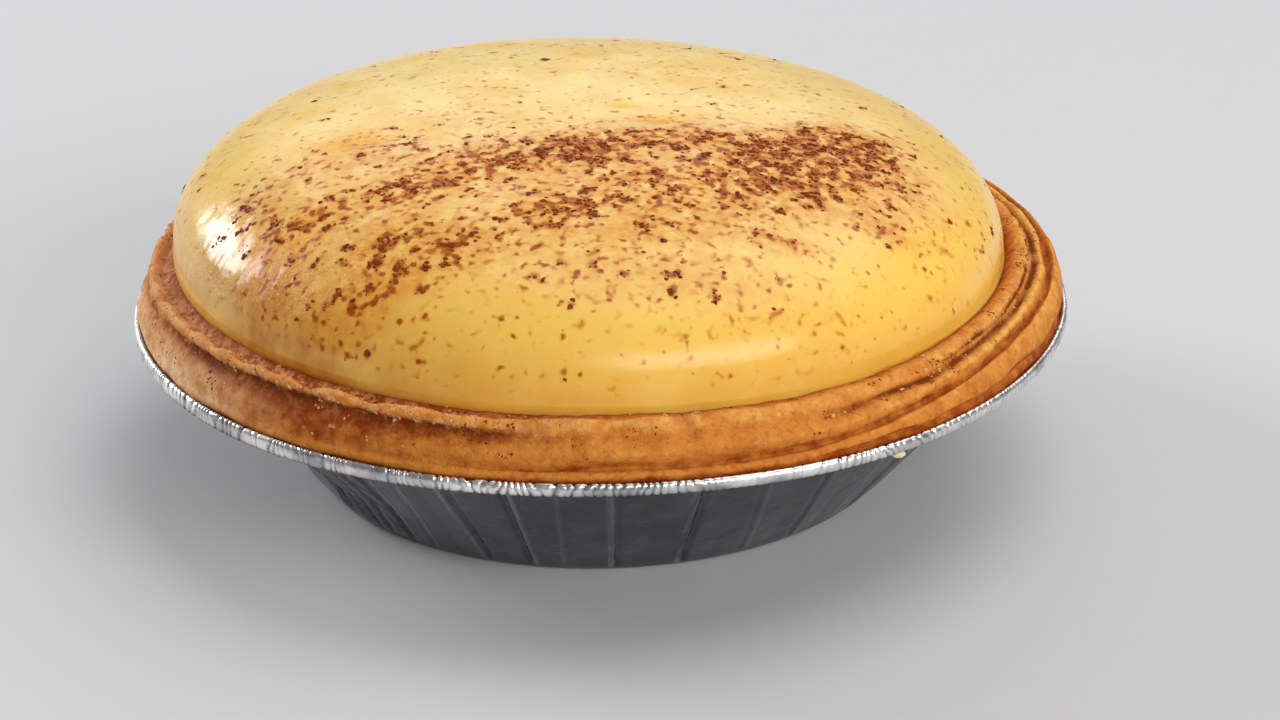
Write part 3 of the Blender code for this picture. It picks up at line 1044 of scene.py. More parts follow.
right_share, _ = sides(angles)
spiced = crevice * ramp(stations, 3.8, 4.6)[None, :] * (1.0 - ramp(stations, 8.2, 8.8))[None, :]
# The flour lies on the left side, where its pale colour also paints the light that falls on that face.
flour_and_light_side = 1.0 - ramp(np.abs(turn_between(angles, math.radians(-178))), math.radians(22), math.radians(52))
# Painted shade on the front left of the edge, round -126 degrees, added to the browning mark.
painted_shade_side = bump(turn_between(angles, math.radians(-126)), math.radians(20))
painted_shade_side = painted_shade_side[:, None] * bump(stations - 3.5, 2.6)[None, :]
marks = {
    "bake": along_edge(BAKE_AND_SHADING_FRONT, BAKE_AND_SHADING_RIGHT, BAKE_AND_SHADING_LEFT) + 0.55 * painted_shade_side,
    "floury": along_edge(FLOUR_AND_LIGHT_FRONT, FLOUR_AND_LIGHT_RIGHT, FLOUR_AND_LIGHT_LEFT) * flour_and_light_side[:, None],
    "crevice": crevice,
    "spiced": spiced,
    "exposed": edge_only * (0.6 + 0.3 * left_share[:, None] * bump(stations - 7.0, 1.5)[None, :]),
    # The lip's crest, most on the left: crumbs are strewn here and a pale painted highlight is laid here.
    "sandy": edge_only * bump(stations - 6.8, 1.6)[None, :] * (0.12 + left_share)[:, None],
    "dusting": edge_only * ramp(stations, 3.2, 5.0)[None, :] * (0.05 + 0.25 * right_share)[:, None]
    + 0.9 * spiced
    + 0.30 * bump(stations - 8.4, 0.9)[None, :] * ramp(wander(angles, 4, 26, 12), -0.4, 1.0)[:, None],
}
floor_height = FOIL + GAP + CRUST_FLOOR
under, over = (0.0, 0.0, FOIL + GAP), on_custard(0.0, 0.0, floor_height).tolist()
pastry_case = skin("pastry_case", bend(case), under, over, marks)
print("the case carries the marks", sorted(marks))

# %% [markdown]
# ### Pastry finish
#
# Baked shortcrust runs from pale gold on the shoulders to dark brown. The creases,
# the hollow under the lip, the lip's inside, the lower edge and the seam with the
# custard are darker still, and so is the front left: that is painted shade. On the
# left, flour pales it, and its light colour there is also painted light on that face.
# Pale patches on the lip's crest are painted highlight. Dark and pale crumbs break
# every patch up, and the surface is sandy, never shiny.

# %% Pastry material
pastry, tree, shader = finish("baked_shortcrust", Roughness=0.75, Specular_IOR_Level=0.08)
# Crevices, through their mark raised to 0.9, turn dark brown as painted shade, on top of the browning, painted shade
# and painted light in the mark fed to Bake.
crust_colour = use(
    tree,
    browning,
    Pale=rgb(240, 180, 92),
    Golden=rgb(214, 132, 52),
    Dark=rgb(148, 60, 2),
    Bake=calc(tree, "MAXIMUM", marked(tree, "bake"), calc(tree, "MULTIPLY", marked(tree, "crevice"), 0.9)),
    Unevenness=0.9,
    Size=2.0 * MM,
)["Colour"]
# Flour patches in a very light colour: flour on the left face and painted light on it.
flour_and_light_cloud = use(tree, blotches, Size=2.6 * MM, Cover=0.68, Softness=0.12)["Mask"]
flour_and_light_share = calc(tree, "MULTIPLY", marked(tree, "floury"), flour_and_light_cloud)
crust_colour = tint(tree, flour_and_light_share, crust_colour, rgb(255, 214, 168))
rosy = use(tree, blotches, Size=1.3 * MM, Cover=0.42, Softness=0.12)["Mask"]
rosy = calc(tree, "MULTIPLY", marked(tree, "floury"), rosy)
crust_colour = tint(tree, calc(tree, "MULTIPLY", rosy, 0.6), crust_colour, rgb(214, 134, 92))
pits = use(tree, blotches, Size=0.8 * MM, Cover=0.30, Softness=0.10)["Mask"]
crust_colour = tint(tree, calc(tree, "MULTIPLY", pits, 0.4), crust_colour, rgb(140, 62, 14))
# Painted highlight: pale patches on the lip's crest, most on the left.
painted_lip_highlight = use(tree, blotches, Size=0.9 * MM, Cover=0.45, Softness=0.10)["Mask"]
painted_lip_highlight = calc(tree, "MULTIPLY", painted_lip_highlight, between(tree, marked(tree, "sandy"), 0.0, 0.7, 0.10, 0.80))
crust_colour = tint(tree, painted_lip_highlight, crust_colour, rgb(234, 170, 114))
toast = use(tree, blotches, Size=2.2 * MM, Cover=0.32, Softness=0.12)["Mask"]
crust_colour = tint(tree, calc(tree, "MULTIPLY", toast, 0.40), crust_colour, rgb(160, 78, 18))
spice_cloud = use(tree, blotches, Size=0.7 * MM, Cover=0.7, Softness=0.12)["Mask"]
spice_share = calc(tree, "MULTIPLY", marked(tree, "spiced"), spice_cloud)
crust_colour = tint(tree, spice_share, crust_colour, rgb(112, 50, 12))
feed(tree, shader.inputs["Base Color"], crust_colour)
sand = use(tree, grain, Coarse_Size=0.55 * MM, Fine_Size=0.2 * MM, Fine_Share=0.4)["Height"]
texture_from(tree, shader, sand, 0.20 * MM, 1.0)
print("pastry is ready:", pastry.name)

# %% [markdown]
# ### Uneven surfaces
#
# Pastry is lumpy at the scale of a fingertip and sandy at the scale of a crumb. Set
# custard is smooth, but its skin puckers where spice lies under it. One tree does
# both: broad lumps everywhere, fine lumps only where a mark on the mesh allows them.

# %% Geometry Nodes: uneven surface
uneven_surface, given, made = new_tree(
    "GeometryNodeTree",
    "uneven surface",
    (
        ("Surface", "Geometry", None),
        ("Broad Size", "Float", 6 * MM),
        ("Broad Depth", "Float", 0.2 * MM),
        ("Fine Size", "Float", 1 * MM),
        ("Fine Depth", "Float", 0.1 * MM),
        ("Where", "String", ""),
        ("Seed", "Float", 0.0),
        ("Finish", "Material", None),
    ),
    (("Surface", "Geometry"),),
)
here = put(uneven_surface, "GeometryNodeInputPosition").outputs[0]
allowed = put(uneven_surface, "GeometryNodeInputNamedAttribute", {"Name": given["Where"]}, data_type="FLOAT").outputs[0]


def lumps_of(tree, size, seed, detail):
    """Random swell between about -0.5 and 0.5, with lumps of one size."""
    scale = calc(tree, "DIVIDE", 1.0, size)
    feeds = {"Vector": here, "W": seed, "Scale": scale, "Detail": detail, "Roughness": 0.55}
    cloud = put(tree, "ShaderNodeTexNoise", feeds, noise_dimensions="4D").outputs[0]
    return calc(tree, "SUBTRACT", cloud, 0.5)


broad = calc(
    uneven_surface, "MULTIPLY", lumps_of(uneven_surface, given["Broad Size"], given["Seed"], 1.0), given["Broad Depth"]
)
fine = calc(
    uneven_surface, "MULTIPLY", lumps_of(uneven_surface, given["Fine Size"], given["Seed"], 2.0), given["Fine Depth"]
)
fine = calc(uneven_surface, "MULTIPLY", fine, allowed)
swell = calc(uneven_surface, "ADD", broad, fine)
normal = put(uneven_surface, "GeometryNodeInputNormal").outputs[0]
offset = put(uneven_surface, "ShaderNodeVectorMath", {0: normal, "Scale": swell}, operation="SCALE").outputs[0]
moved = put(uneven_surface, "GeometryNodeSetPosition", {"Geometry": given["Surface"], "Offset": offset}).outputs[0]
real = put(uneven_surface, "GeometryNodeRealizeInstances", (moved,)).outputs[0]
coated = put(uneven_surface, "GeometryNodeSetMaterial", {"Geometry": real, "Material": given["Finish"]}).outputs[0]
feed(uneven_surface, made["Surface"], coated)

dress(
    pastry_case,
    uneven_surface,
    broad_size=5 * MM,
    broad_depth=0.5 * MM,
    fine_size=1.5 * MM,
    fine_depth=0.55 * MM,
    where="exposed",
    seed=3.0,
    finish=pastry,
)
measure(pastry_case)

# %% [markdown]
# ## The custard
#
# Egg custard is poured in liquid and swells as it sets, so it stands above the pastry
# with a rounded shoulder and a top that is almost flat. The outline is two quarter
# curves of a squashed circle, fuller at the shoulder than an arc would be. It is read
# at even steps, so the skin has no pinched or stretched rings.

# %% Skin of the custard
BRIM_HEIGHT = 0.0285
DOME_TOP = 0.0448
SIDE_ROUNDNESS = 3.1
TOP_ROUNDNESS = 2.3
CUSTARD_STEPS = 900
DOME_RINGS = 92
TUCKED = 0.30 * MM

rise = np.linspace(0.0, math.pi / 2, 4000)
profile_radius = CUSTARD_RADIUS * np.cos(rise) ** (2 / SIDE_ROUNDNESS)
profile_height = mix(BRIM_HEIGHT, DOME_TOP, np.sin(rise) ** (2 / TOP_ROUNDNESS))
run = np.concatenate(([0.0], np.cumsum(np.hypot(np.diff(profile_radius), np.diff(profile_height)))))
even = np.arange(DOME_RINGS) / DOME_RINGS * run[-1]
dome_radius, dome_height = np.interp(even, run, profile_radius), np.interp(even, run, profile_height)

angles = ring(CUSTARD_STEPS)
hidden = filling_side(angles, GAP - 0.05 * MM)[::-1]
brim = [on_custard(angles, CUSTARD_RADIUS + 0.10 * MM, height) for height in np.linspace(0.0273, 0.0282, 4)]
dome = [on_custard(angles, radius, height) for radius, height in zip(dome_radius, dome_height)]
filling = np.stack(hidden + brim + dome, axis=1)
print("the dome's outline is", round(float(run[-1]) * 1000, 1), "mm long")

# %% [markdown]
# ### Where the spice fell
#
# The spice was shaken on by hand. It lies in a loose band of streaks across the top,
# thick in a few places and thin towards the front and the back. The band is laid out
# as a few soft ovals on the custard. Their sum is one mark on the mesh, and the
# scatter, the stains and the puckered skin all use it.

# %% Ovals of spice
# Middle across and back in millimetres from the custard's middle, half length, half
# width, turn in degrees and weight.
SPICE_OVALS = (
    (-2.0, -13.5, 6.0, 4.2, 12, 1.00),
    (9.0, -9.0, 7.0, 3.6, 5, 0.50),
    (20.0, -12.5, 4.5, 4.5, 20, 0.95),
    (28.5, -7.0, 5.5, 5.0, -10, 0.90),
    (33.0, -12.0, 6.0, 5.0, 0, 0.40),
    (-15.0, -19.5, 8.0, 4.6, 22, 0.50),
    (-23.0, -23.5, 5.0, 4.0, 20, 0.36),
    (-33.0, -27.0, 6.5, 3.6, 15, 0.40),
    (-25.0, -34.0, 6.0, 3.6, 20, 0.36),
    (-17.0, -37.0, 6.0, 3.4, 5, 0.44),
    (-27.0, -41.0, 8.0, 4.2, 15, 0.42),
    (-28.0, -14.0, 8.0, 4.0, 10, 0.26),
    (-3.0, -33.0, 8.0, 5.0, 0, 0.22),
    (12.0, -31.0, 14.0, 6.0, 0, 0.20),
    (16.0, -10.0, 14.0, 4.0, 0, 0.20),
    (34.0, -3.0, 6.0, 4.0, 0, 0.20),
    (4.0, -21.0, 12.0, 4.0, 0, 0.20),
    (24.0, -19.0, 12.0, 5.0, 0, 0.16),
    (-14.0, -13.0, 8.0, 3.5, 15, 0.16),
    (-5.0, -30.5, 5.0, 2.2, 10, 0.42),
    (6.0, -27.0, 12.0, 5.0, 0, 0.26),
    (22.0, -22.0, 12.0, 5.5, 0, 0.34),
    (21.0, -34.0, 4.0, 1.8, 0, 0.40),
    (33.0, -27.0, 3.5, 2.0, 0, 0.32),
    (8.0, -34.5, 7.0, 2.5, 0, 0.22),
    (-40.0, -22.0, 6.0, 7.0, 0, 0.34),
    (-30.0, -9.0, 5.0, 3.0, 0, 0.22),
    (-20.0, -27.0, 22.0, 12.0, 18, 0.24),
    (12.0, -19.0, 24.0, 9.0, 0, 0.24),
    (30.0, -14.0, 13.0, 10.0, 0, 0.20),
    (6.0, -42.0, 22.0, 5.0, 0, 0.32),
    (8.0, -3.5, 9.0, 3.0, 0, 0.14),
    (-18.0, -4.0, 13.0, 6.0, 0, 0.17),
    (-38.0, -13.0, 8.0, 6.0, 0, 0.12),
    (-37.0, -33.0, 5.0, 6.0, 0, 0.26),
)
BACK_DUST = 0.03
ALL_DUST = 0.05


def oval(x, y, middle_x, middle_y, length, width, turned):
    """Soft oval patch: 1 in its middle and near 0 outside."""
    across, back = x - middle_x * MM, y - middle_y * MM
    cosine, sine = math.cos(math.radians(turned)), math.sin(math.radians(turned))
    long_way = (across * cosine + back * sine) / (length * MM)
    short_way = (back * cosine - across * sine) / (width * MM)
    return np.exp(-(long_way**2) - short_way**2)


x, y = filling[..., 0], filling[..., 1]
dusting = ALL_DUST + BACK_DUST * ramp(y, -0.030, 0.0)
for middle_x, middle_y, length, width, turned, weight in SPICE_OVALS:
    dusting = dusting + weight * oval(x, y, middle_x, middle_y, length, width, turned)
dusting = np.minimum(dusting, 1.0)
print("spice covers", round(float((dusting > 0.2).mean()) * 100), "% of the skin's points more than thinly")

# %% Marks for the custard's finish
WET_SPOTS = ((-29.5, -9.0, 4.5, 1.8, 10), (7.5, -3.0, 3.6, 1.4, 0), (3.0, 2.0, 2.0, 1.0, 0))
PUCKERS = ((-42.0, -22.0, 7.0, 9.0, 0, 1.0), (-30.0, -33.0, 9.0, 7.0, 0, 0.8), (-20.0, -38.0, 9.0, 5.0, 0, 0.6))

hidden_rings = len(hidden) + len(brim)
on_dome = (np.arange(filling.shape[1]) >= hidden_rings)[None, :] * np.ones((CUSTARD_STEPS, 1))
outline_way = np.concatenate((np.zeros(hidden_rings), even))[None, :]
shown = on_dome * ramp(outline_way, 0.5 * MM, 2.5 * MM)
wet = sum(oval(x, y, *spot) for spot in WET_SPOTS)
pucker = sum(weight * oval(x, y, *place) for *place, weight in PUCKERS)
marks = {
    "dusting": dusting * shown,
    "wet": wet * shown,
    "pucker": np.minimum(pucker + 0.10 * dusting, 1.0) * shown,
    "edge": (1.0 - ramp(outline_way, 0.0, 9.0 * MM)) * np.ones_like(dusting),
    "ochre": 0.9 * bump(turn_between(angles, math.radians(-134)), math.radians(22))[:, None]
    * (1.0 - ramp(outline_way, 3.0 * MM, 15.0 * MM)),
    "crown": ramp(filling[..., 2], 0.036, 0.0445),
}
filling[..., 2] -= 0.18 * MM * marks["wet"]
top = on_custard(0.0, 0.0, DOME_TOP).tolist()
custard_filling = skin("custard_filling", bend(filling), on_custard(0.0, 0.0, floor_height).tolist(), top, marks)
print("the filling carries the marks", sorted(marks))

# %% [markdown]
# ### Custard finish
#
# Set custard lets light in a little way and sends it out again, which softens its
# shading. That is subsurface scattering, with a radius of a few millimetres in red
# and less in blue. The colour deepens where the custard baked against the pastry,
# and further to ochre on the front left, which is partly browning and partly painted
# shade. It is paler on the crown, partly its own skin and partly painted sheen. Spice
# bleeds a little orange into the skin round it. A low roughness gives the wet sheen.

# %% Custard material
# Seed, size and the noise levels that spice clumps fill, where it is sparse and dense.
CLUMPS = ((3, 1.5 * MM, (0.815, 0.465)), (14, 0.85 * MM, (0.805, 0.47)))

custard, tree, shader = finish(
    "set_custard",
    Subsurface_Weight=0.35,
    Subsurface_Radius=(1.0, 0.55, 0.18),
    Subsurface_Scale=2.5 * MM,
    Coat_Roughness=0.22,
    Specular_IOR_Level=0.12,
)
# Paler on the crown: partly the custard's own skin and partly painted sheen.
custard_colour = tint(tree, marked(tree, "crown"), rgb(244, 202, 92), rgb(253, 222, 144))
custard_colour = tint(tree, marked(tree, "edge"), custard_colour, rgb(238, 180, 68))
# Deeper ochre on the front left near the pastry: partly browning and partly painted shade on the side turned from the
# lights.
custard_colour = tint(tree, marked(tree, "ochre"), custard_colour, rgb(196, 116, 26))
custard_colour = use(
    tree, blotches, Colour=custard_colour, Blotch=rgb(244, 198, 96), Size=7 * MM, Cover=0.4, Softness=0.25
)["Colour"]
custard_colour = tint(tree, marked(tree, "wet"), custard_colour, rgb(255, 196, 30))
dusting = marked(tree, "dusting")
haze = use(tree, blotches, Size=1.8 * MM, Cover=0.62, Softness=0.30)["Mask"]
haze = calc(tree, "MULTIPLY", haze, between(tree, dusting, 0.07, 0.5, 0.0, 0.85))
custard_colour = tint(tree, haze, custard_colour, rgb(220, 146, 50))
for seed, size, (sparse, dense) in CLUMPS:
    powder = {"Dusting": dusting, "Size": size, "Seed": seed}
    halo = use(tree, clumps, Sparse_Level=sparse - 0.04, Dense_Level=dense - 0.02, Spread=0.12, **powder)["Mask"]
    custard_colour = tint(tree, calc(tree, "MULTIPLY", halo, 0.75), custard_colour, rgb(214, 122, 20))
    core = use(tree, clumps, Sparse_Level=sparse + 0.01, Dense_Level=dense + 0.06, Spread=0.09, **powder)["Mask"]
    custard_colour = tint(tree, calc(tree, "MULTIPLY", core, 0.85), custard_colour, rgb(150, 62, 0))
bleed = use(tree, clumps, Dusting=dusting, Size=1.5 * MM, Seed=21.0, Sparse_Level=0.84, Dense_Level=0.58, Spread=0.08)
custard_colour = tint(tree, calc(tree, "MULTIPLY", bleed["Mask"], 0.5), custard_colour, rgb(222, 134, 34))
feed(tree, shader.inputs["Base Color"], custard_colour)
satin = use(tree, blotches, Size=2.5 * MM, Cover=0.5, Softness=0.3)["Mask"]
feed(tree, shader.inputs["Roughness"], between(tree, satin, 0.0, 1.0, 0.26, 0.36))
wetness = between(tree, marked(tree, "pucker"), 0.1, 1.0, 0.42, 0.9)
feed(tree, shader.inputs["Coat Weight"], between(tree, dusting, 0.3, 0.7, wetness, 0.05))
skin_height = use(tree, grain, Coarse_Size=0.9 * MM, Fine_Size=0.3 * MM, Fine_Share=0.5)["Height"]
skin_height = calc(tree, "MULTIPLY", skin_height, between(tree, marked(tree, "pucker"), 0.0, 1.0, 0.12, 1.0))
texture_from(tree, shader, skin_height, 0.34 * MM, 1.0)
dress(
    custard_filling,
    uneven_surface,
    broad_size=9 * MM,
    broad_depth=0.35 * MM,
    fine_size=1.5 * MM,
    fine_depth=0.60 * MM,
    where="pucker",
    seed=8.0,
    finish=custard,
)
measure(custard_filling)

# %% [markdown]
# ## Ground spice and crumbs
#
# Each grain is real, in its true size: 0.1 to 0.9 mm. A tree drops points on a
# surface where its mark is high, gathers them with a clumpy noise, sets a low-sided
# stone on each, turns and flattens it, and pushes it a little into the surface. After
# the stones are made real, each is knocked out of shape by noise. Twenty faces are
# enough for a grain, since there are thousands.

# %% Geometry Nodes: scattered grains
scatter, given, made = new_tree(
    "GeometryNodeTree",
    "scattered grains",
    (
        ("Surface", "Geometry", None),
        ("Where", "String", ""),
        ("Per Square Millimetre", "Float", 2.0),
        ("Clump Size", "Float", 1.5 * MM),
        ("Sparse Level", "Float", 0.7),
        ("Dense Level", "Float", 0.45),
        ("Smallest", "Float", 0.10 * MM),
        ("Largest", "Float", 0.50 * MM),
        ("Rarity Of Large", "Float", 3.0),
        ("Flatness", "Float", 0.5),
        ("Sink", "Float", 0.2),
        ("Seed", "Int", 1),
        ("Finish", "Material", None),
    ),
    (("Grains", "Geometry"),),
)
here = put(scatter, "GeometryNodeInputPosition").outputs[0]
allowed = put(scatter, "GeometryNodeInputNamedAttribute", {"Name": given["Where"]}, data_type="FLOAT").outputs[0]
settings = [given[label] for label in ("Clump Size", "Seed", "Sparse Level", "Dense Level")]
clump = clump_rule(scatter, here, allowed, *settings, 0.03)
crowd = calc(scatter, "MULTIPLY", clump, given["Per Square Millimetre"])
crowd = calc(scatter, "DIVIDE", crowd, MM * MM)
feeds = {"Mesh": given["Surface"], "Density": crowd, "Seed": given["Seed"]}
dropped = put(scatter, "GeometryNodeDistributePointsOnFaces", feeds, distribute_method="RANDOM")


def draw_number(low, high, offset):
    """Random number of each grain, from its own seed."""
    feeds = {2: low, 3: high, "Seed": calc(scatter, "ADD", given["Seed"], offset)}
    return put(scatter, "FunctionNodeRandomValue", feeds, data_type="FLOAT").outputs[1]


luck = calc(scatter, "POWER", draw_number(0.0, 1.0, 20), given["Rarity Of Large"])
feeds = (luck, 0.0, 1.0, given["Smallest"], given["Largest"])
size = put(scatter, "ShaderNodeMapRange", feeds).outputs[0]
wide = calc(scatter, "MULTIPLY", size, draw_number(0.6, 1.0, 30))
thick = calc(scatter, "MULTIPLY", wide, given["Flatness"])
grain_size = put(scatter, "ShaderNodeCombineXYZ", (size, wide, thick)).outputs[0]
spin = put(scatter, "ShaderNodeCombineXYZ", (draw_number(-0.3, 0.3, 40), draw_number(-0.3, 0.3, 50), draw_number(0.0, TURN, 60))).outputs[0]
feeds = {"Rotation": dropped.outputs["Rotation"], "Rotate By": spin}
stance = put(scatter, "FunctionNodeRotateRotation", feeds, rotation_space="LOCAL").outputs[0]
stone = put(scatter, "GeometryNodeMeshIcoSphere", {"Radius": 0.5, "Subdivisions": 1}).outputs[0]
feeds = {"Points": dropped.outputs["Points"], "Instance": stone, "Rotation": stance, "Scale": grain_size}
placed = put(scatter, "GeometryNodeInstanceOnPoints", feeds).outputs[0]
feeds = {"Geometry": placed, "Name": "shade", "Value": draw_number(0.0, 1.0, 70)}
placed = put(scatter, "GeometryNodeStoreNamedAttribute", feeds, data_type="FLOAT", domain="INSTANCE").outputs[0]
down = put(scatter, "ShaderNodeCombineXYZ", (0.0, 0.0, calc(scatter, "MULTIPLY", given["Sink"], -1.0))).outputs[0]
feeds = {"Instances": placed, "Translation": down, "Local Space": True}
placed = put(scatter, "GeometryNodeTranslateInstances", feeds).outputs[0]
real = put(scatter, "GeometryNodeRealizeInstances", (placed,)).outputs[0]
feeds = {"Vector": here, "Scale": 1 / (0.22 * MM), "Detail": 0.0}
knock = put(scatter, "ShaderNodeTexNoise", feeds).outputs["Color"]
knock = put(scatter, "ShaderNodeVectorMath", (knock, (0.5, 0.5, 0.5)), operation="SUBTRACT").outputs[0]
feeds = {0: knock, "Scale": calc(scatter, "MULTIPLY", given["Largest"], 0.35)}
knock = put(scatter, "ShaderNodeVectorMath", feeds, operation="SCALE").outputs[0]
real = put(scatter, "GeometryNodeSetPosition", {"Geometry": real, "Offset": knock}).outputs[0]
coated = put(scatter, "GeometryNodeSetMaterial", {"Geometry": real, "Material": given["Finish"]}).outputs[0]
feed(scatter, made["Grains"], coated)
print("the scatter tree has", len(scatter.nodes), "nodes")


# %% Spice and crumb materials
def grain_finish(name, dark, light, roughness):
    """Material of loose grains, each with its own shade between two colours."""
    material, tree, shader = finish(name, Roughness=roughness, Specular_IOR_Level=0.12)
    colour = tint(tree, marked(tree, "shade"), dark, light)
    colour = use(tree, blotches, Colour=colour, Blotch=light, Size=0.3 * MM, Cover=0.35, Softness=0.2)["Colour"]
    feed(tree, shader.inputs["Base Color"], colour)
    height = use(tree, grain, Coarse_Size=0.15 * MM, Fine_Size=0.05 * MM)["Height"]
    texture_from(tree, shader, height, 0.02 * MM)
    return material


dark_spice = grain_finish("ground_spice", rgb(84, 26, 0), rgb(146, 66, 8), 0.8)
warm_spice = grain_finish("warm_spice", rgb(150, 66, 4), rgb(206, 120, 24), 0.8)
crumb_finish = grain_finish("loose_crumb", rgb(196, 128, 76), rgb(232, 176, 120), 0.7)
pale_crumb = grain_finish("pale_crumb", rgb(206, 178, 118), rgb(240, 224, 178), 0.7)
print("grain finishes are ready")


# %% Scatter the grains
def strew(name, surface, **choices):
    """New piece of grains strewn over a finished piece."""
    piece = bpy.data.objects.new(name, surface.data)
    bpy.context.scene.collection.objects.link(piece)
    return dress(piece, scatter, **choices)


spice_dust = strew(
    "spice_dust",
    custard_filling,
    where="dusting",
    per_square_millimetre=6.0,
    clump_size=CLUMPS[0][1],
    sparse_level=CLUMPS[0][2][0],
    dense_level=CLUMPS[0][2][1],
    smallest=0.22 * MM,
    largest=0.95 * MM,
    rarity_of_large=2.0,
    flatness=0.4,
    sink=0.15,
    seed=CLUMPS[0][0],
    finish=dark_spice,
)
warm_dust = strew(
    "warm_dust",
    custard_filling,
    where="dusting",
    per_square_millimetre=5.0,
    clump_size=CLUMPS[1][1],
    sparse_level=CLUMPS[1][2][0],
    dense_level=CLUMPS[1][2][1],
    smallest=0.14 * MM,
    largest=0.45 * MM,
    rarity_of_large=2.2,
    flatness=0.35,
    sink=0.2,
    seed=CLUMPS[1][0],
    finish=warm_spice,
)
crust_dust = strew(
    "crust_dust",
    pastry_case,
    where="dusting",
    per_square_millimetre=7.0,
    clump_size=1.4 * MM,
    sparse_level=0.68,
    dense_level=0.48,
    smallest=0.12 * MM,
    largest=0.50 * MM,
    rarity_of_large=2.2,
    flatness=0.5,
    sink=0.2,
    seed=23,
    finish=dark_spice,
)
pastry_crumbs = strew(
    "pastry_crumbs",
    pastry_case,
    where="sandy",
    per_square_millimetre=3.0,
    clump_size=1.2 * MM,
    sparse_level=0.70,
    dense_level=0.46,
    smallest=0.22 * MM,
    largest=0.80 * MM,
    rarity_of_large=2.0,
    flatness=0.7,
    sink=0.25,
    seed=31,
    finish=crumb_finish,
)

# %% [markdown]
# One larger crumb broke off and hangs under the rim at the front right, where grease
# holds it against the foil. It is a ball of a few hundred faces knocked out of shape by
# the same tree that roughens the pastry.

# %% Crumb stuck under the rim
STUCK_ANGLE = math.radians(-54)
STUCK_SIZE = (0.80 * MM, 0.60 * MM, 0.50 * MM)

turns, rises = ring(24), np.linspace(-math.pi / 2, math.pi / 2, 15)[1:-1]
ball = on_axis(turns[:, None], np.cos(rises)[None, :], np.sin(rises)[None, :])
centre = on_axis(STUCK_ANGLE, 0.0568, 0.0189)
sizes = np.array(STUCK_SIZE)
spots = {"exposed": np.ones(ball.shape[:2]), "shade": np.ones(ball.shape[:2])}
under, over = (centre - sizes * (0, 0, 1)).tolist(), (centre + sizes * (0, 0, 1)).tolist()
stuck_crumb = skin("stuck_crumb", ball * sizes + centre, under, over, spots)
dress(
    stuck_crumb,
    uneven_surface,
    broad_size=0.5 * MM,
    broad_depth=0.4 * MM,
    fine_size=0.25 * MM,
    fine_depth=0.25 * MM,
    where="exposed",
    seed=4.0,
    finish=pale_crumb,
)
measure(stuck_crumb)

# %% [markdown]
# ## Joining the pieces to the frame
#
# The tart doesn't move, so every piece rides on its one body. Each main piece stands
# for the CAD part that it was modelled over.

# %% Ride and replace
PIECES = (
    (tin_dish, "foil_tin", "foil"),
    (rolled_rim, "foil_tin", "foil"),
    (pastry_case, "crust", "pastry"),
    (custard_filling, "custard", "custard"),
    (spice_dust, None, "spice"),
    (warm_dust, None, "spice"),
    (crust_dust, None, "spice"),
    (pastry_crumbs, None, "pastry"),
    (stuck_crumb, None, "pastry"),
)
for piece, node_name, slot_name in PIECES:
    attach(piece, "root")
    if node_name:
        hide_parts(node_name)
print(len(PIECES), "pieces ride on the tart")

# %% [markdown]
# ## The studio
#
# A plain pale floor and four soft lights. A small bright one stands low at the front
# left, like a window: it draws the white shine on the custard's shoulder. A wide one
# low behind the tart lights the far edge. A box at the front right gives the long soft
# shine on the front, and one overhead fills the top. The camera has a long lens and looks down at about 23 degrees.

# %% Floor
FLOOR_HALF = 3.0
mesh = bpy.data.meshes.new("studio_floor")
corners = [(-FLOOR_HALF, -FLOOR_HALF, 0), (FLOOR_HALF, -FLOOR_HALF, 0), (FLOOR_HALF, FLOOR_HALF, 0), (-FLOOR_HALF, FLOOR_HALF, 0)]
mesh.from_pydata(corners, [], [(0, 1, 2, 3)])
studio_floor = bpy.data.objects.new("studio_floor", mesh)
bpy.context.scene.collection.objects.link(studio_floor)
floor_finish, _, _ = finish("pale_floor", Base_Color=rgb(206, 206, 208), Roughness=0.75)
mesh.materials.append(floor_finish)
print("the floor is", FLOOR_HALF * 2, "m across")

# %% Lights
AIM = Vector((0.0, 0.0, 0.025))


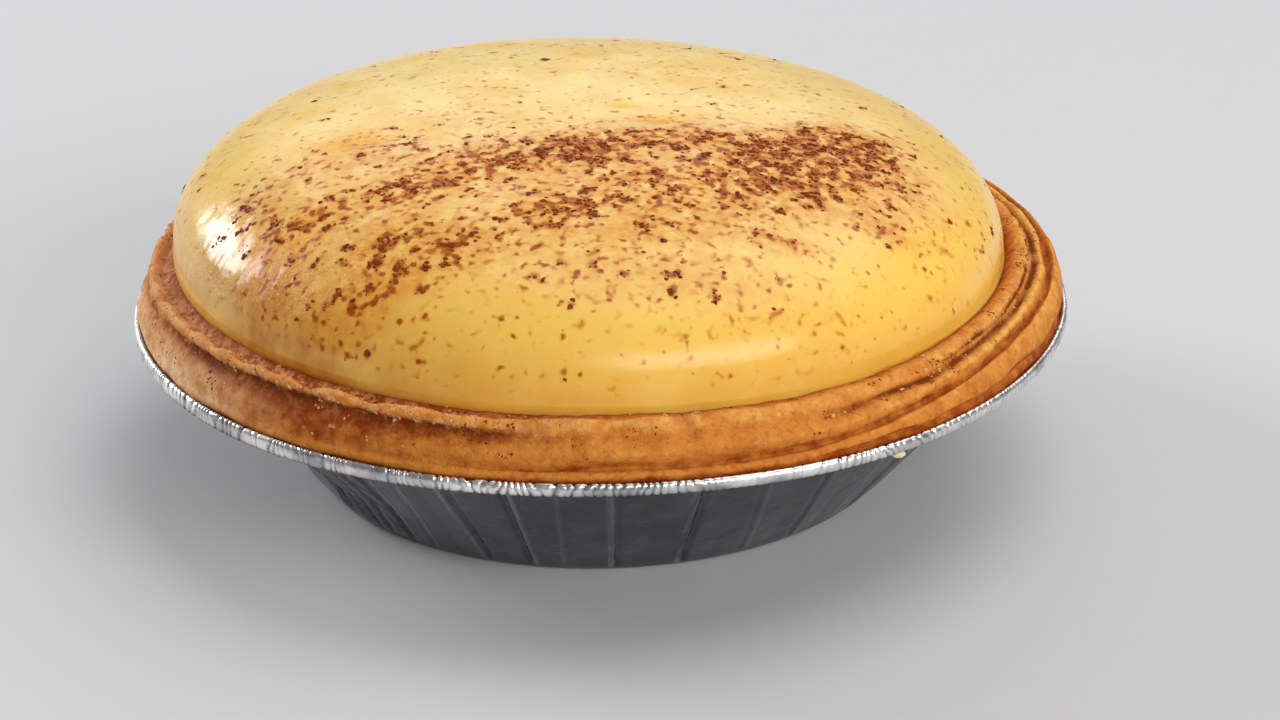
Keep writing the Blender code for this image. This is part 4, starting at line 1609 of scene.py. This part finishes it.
def softbox(name, azimuth, elevation, distance, size, power, colour=(1.0, 1.0, 1.0)):
    """Area light aimed at the tart; azimuth 0 is the front and 90 the right."""
    light = bpy.data.lights.new(name, "AREA")
    light.shape = "RECTANGLE"
    light.size, light.size_y = size
    light.energy = power
    light.color = colour
    lamp = bpy.data.objects.new(name, light)
    side, up = math.radians(azimuth), math.radians(elevation)
    back = Vector((math.sin(side) * math.cos(up), -math.cos(side) * math.cos(up), math.sin(up)))
    lamp.location = AIM + back * distance
    lamp.rotation_euler = (-back).to_track_quat("-Z", "Y").to_euler()
    bpy.context.scene.collection.objects.link(lamp)
    return lamp


softbox("window", -124, 20, 1.0, (0.46, 0.36), 6.0, (1.0, 0.99, 0.98))
softbox("behind", 172, 30, 1.2, (1.3, 0.6), 2.2, (1.0, 0.99, 0.98))
softbox("front_box", 34, 26, 0.9, (0.80, 0.28), 5.2, (1.0, 0.98, 0.95))
softbox("overhead", 120, 66, 1.0, (0.9, 0.9), 5.2, (1.0, 0.99, 0.98))
world = bpy.data.worlds.new("studio_air")
bpy.context.scene.world = world
world.use_nodes = True
world.node_tree.nodes["Background"].inputs["Color"].default_value = (0.92, 0.94, 0.97, 1.0)
world.node_tree.nodes["Background"].inputs["Strength"].default_value = 0.22
bpy.context.scene.view_settings.view_transform = "Standard"
print("lights:", sorted(light.name for light in bpy.data.lights))

# %% Camera
CAMERA_PLACE = Vector((0.0, -0.412054, 0.188180))
LENS = 100.0125
YAW, PITCH, ROLL = 0.0116, 0.4055, -0.0133

forward = Vector((math.sin(YAW) * math.cos(PITCH), math.cos(YAW) * math.cos(PITCH), -math.sin(PITCH)))
level = Vector((math.cos(YAW), -math.sin(YAW), 0.0))
upright = level.cross(forward)
rightward = level * math.cos(ROLL) + upright * math.sin(ROLL)
upward = upright * math.cos(ROLL) - level * math.sin(ROLL)
eye = bpy.data.cameras.new("studio_camera")
eye.lens = LENS
eye.sensor_width = 36.0
eye.clip_start, eye.clip_end = 0.02, 20.0
camera = bpy.data.objects.new("studio_camera", eye)
turned = Matrix((rightward, upward, -forward)).transposed().to_4x4()
camera.matrix_world = Matrix.Translation(CAMERA_PLACE) @ turned
bpy.context.scene.collection.objects.link(camera)
bpy.context.scene.camera = camera
print("the camera looks down", round(math.degrees(PITCH), 1), "degrees")
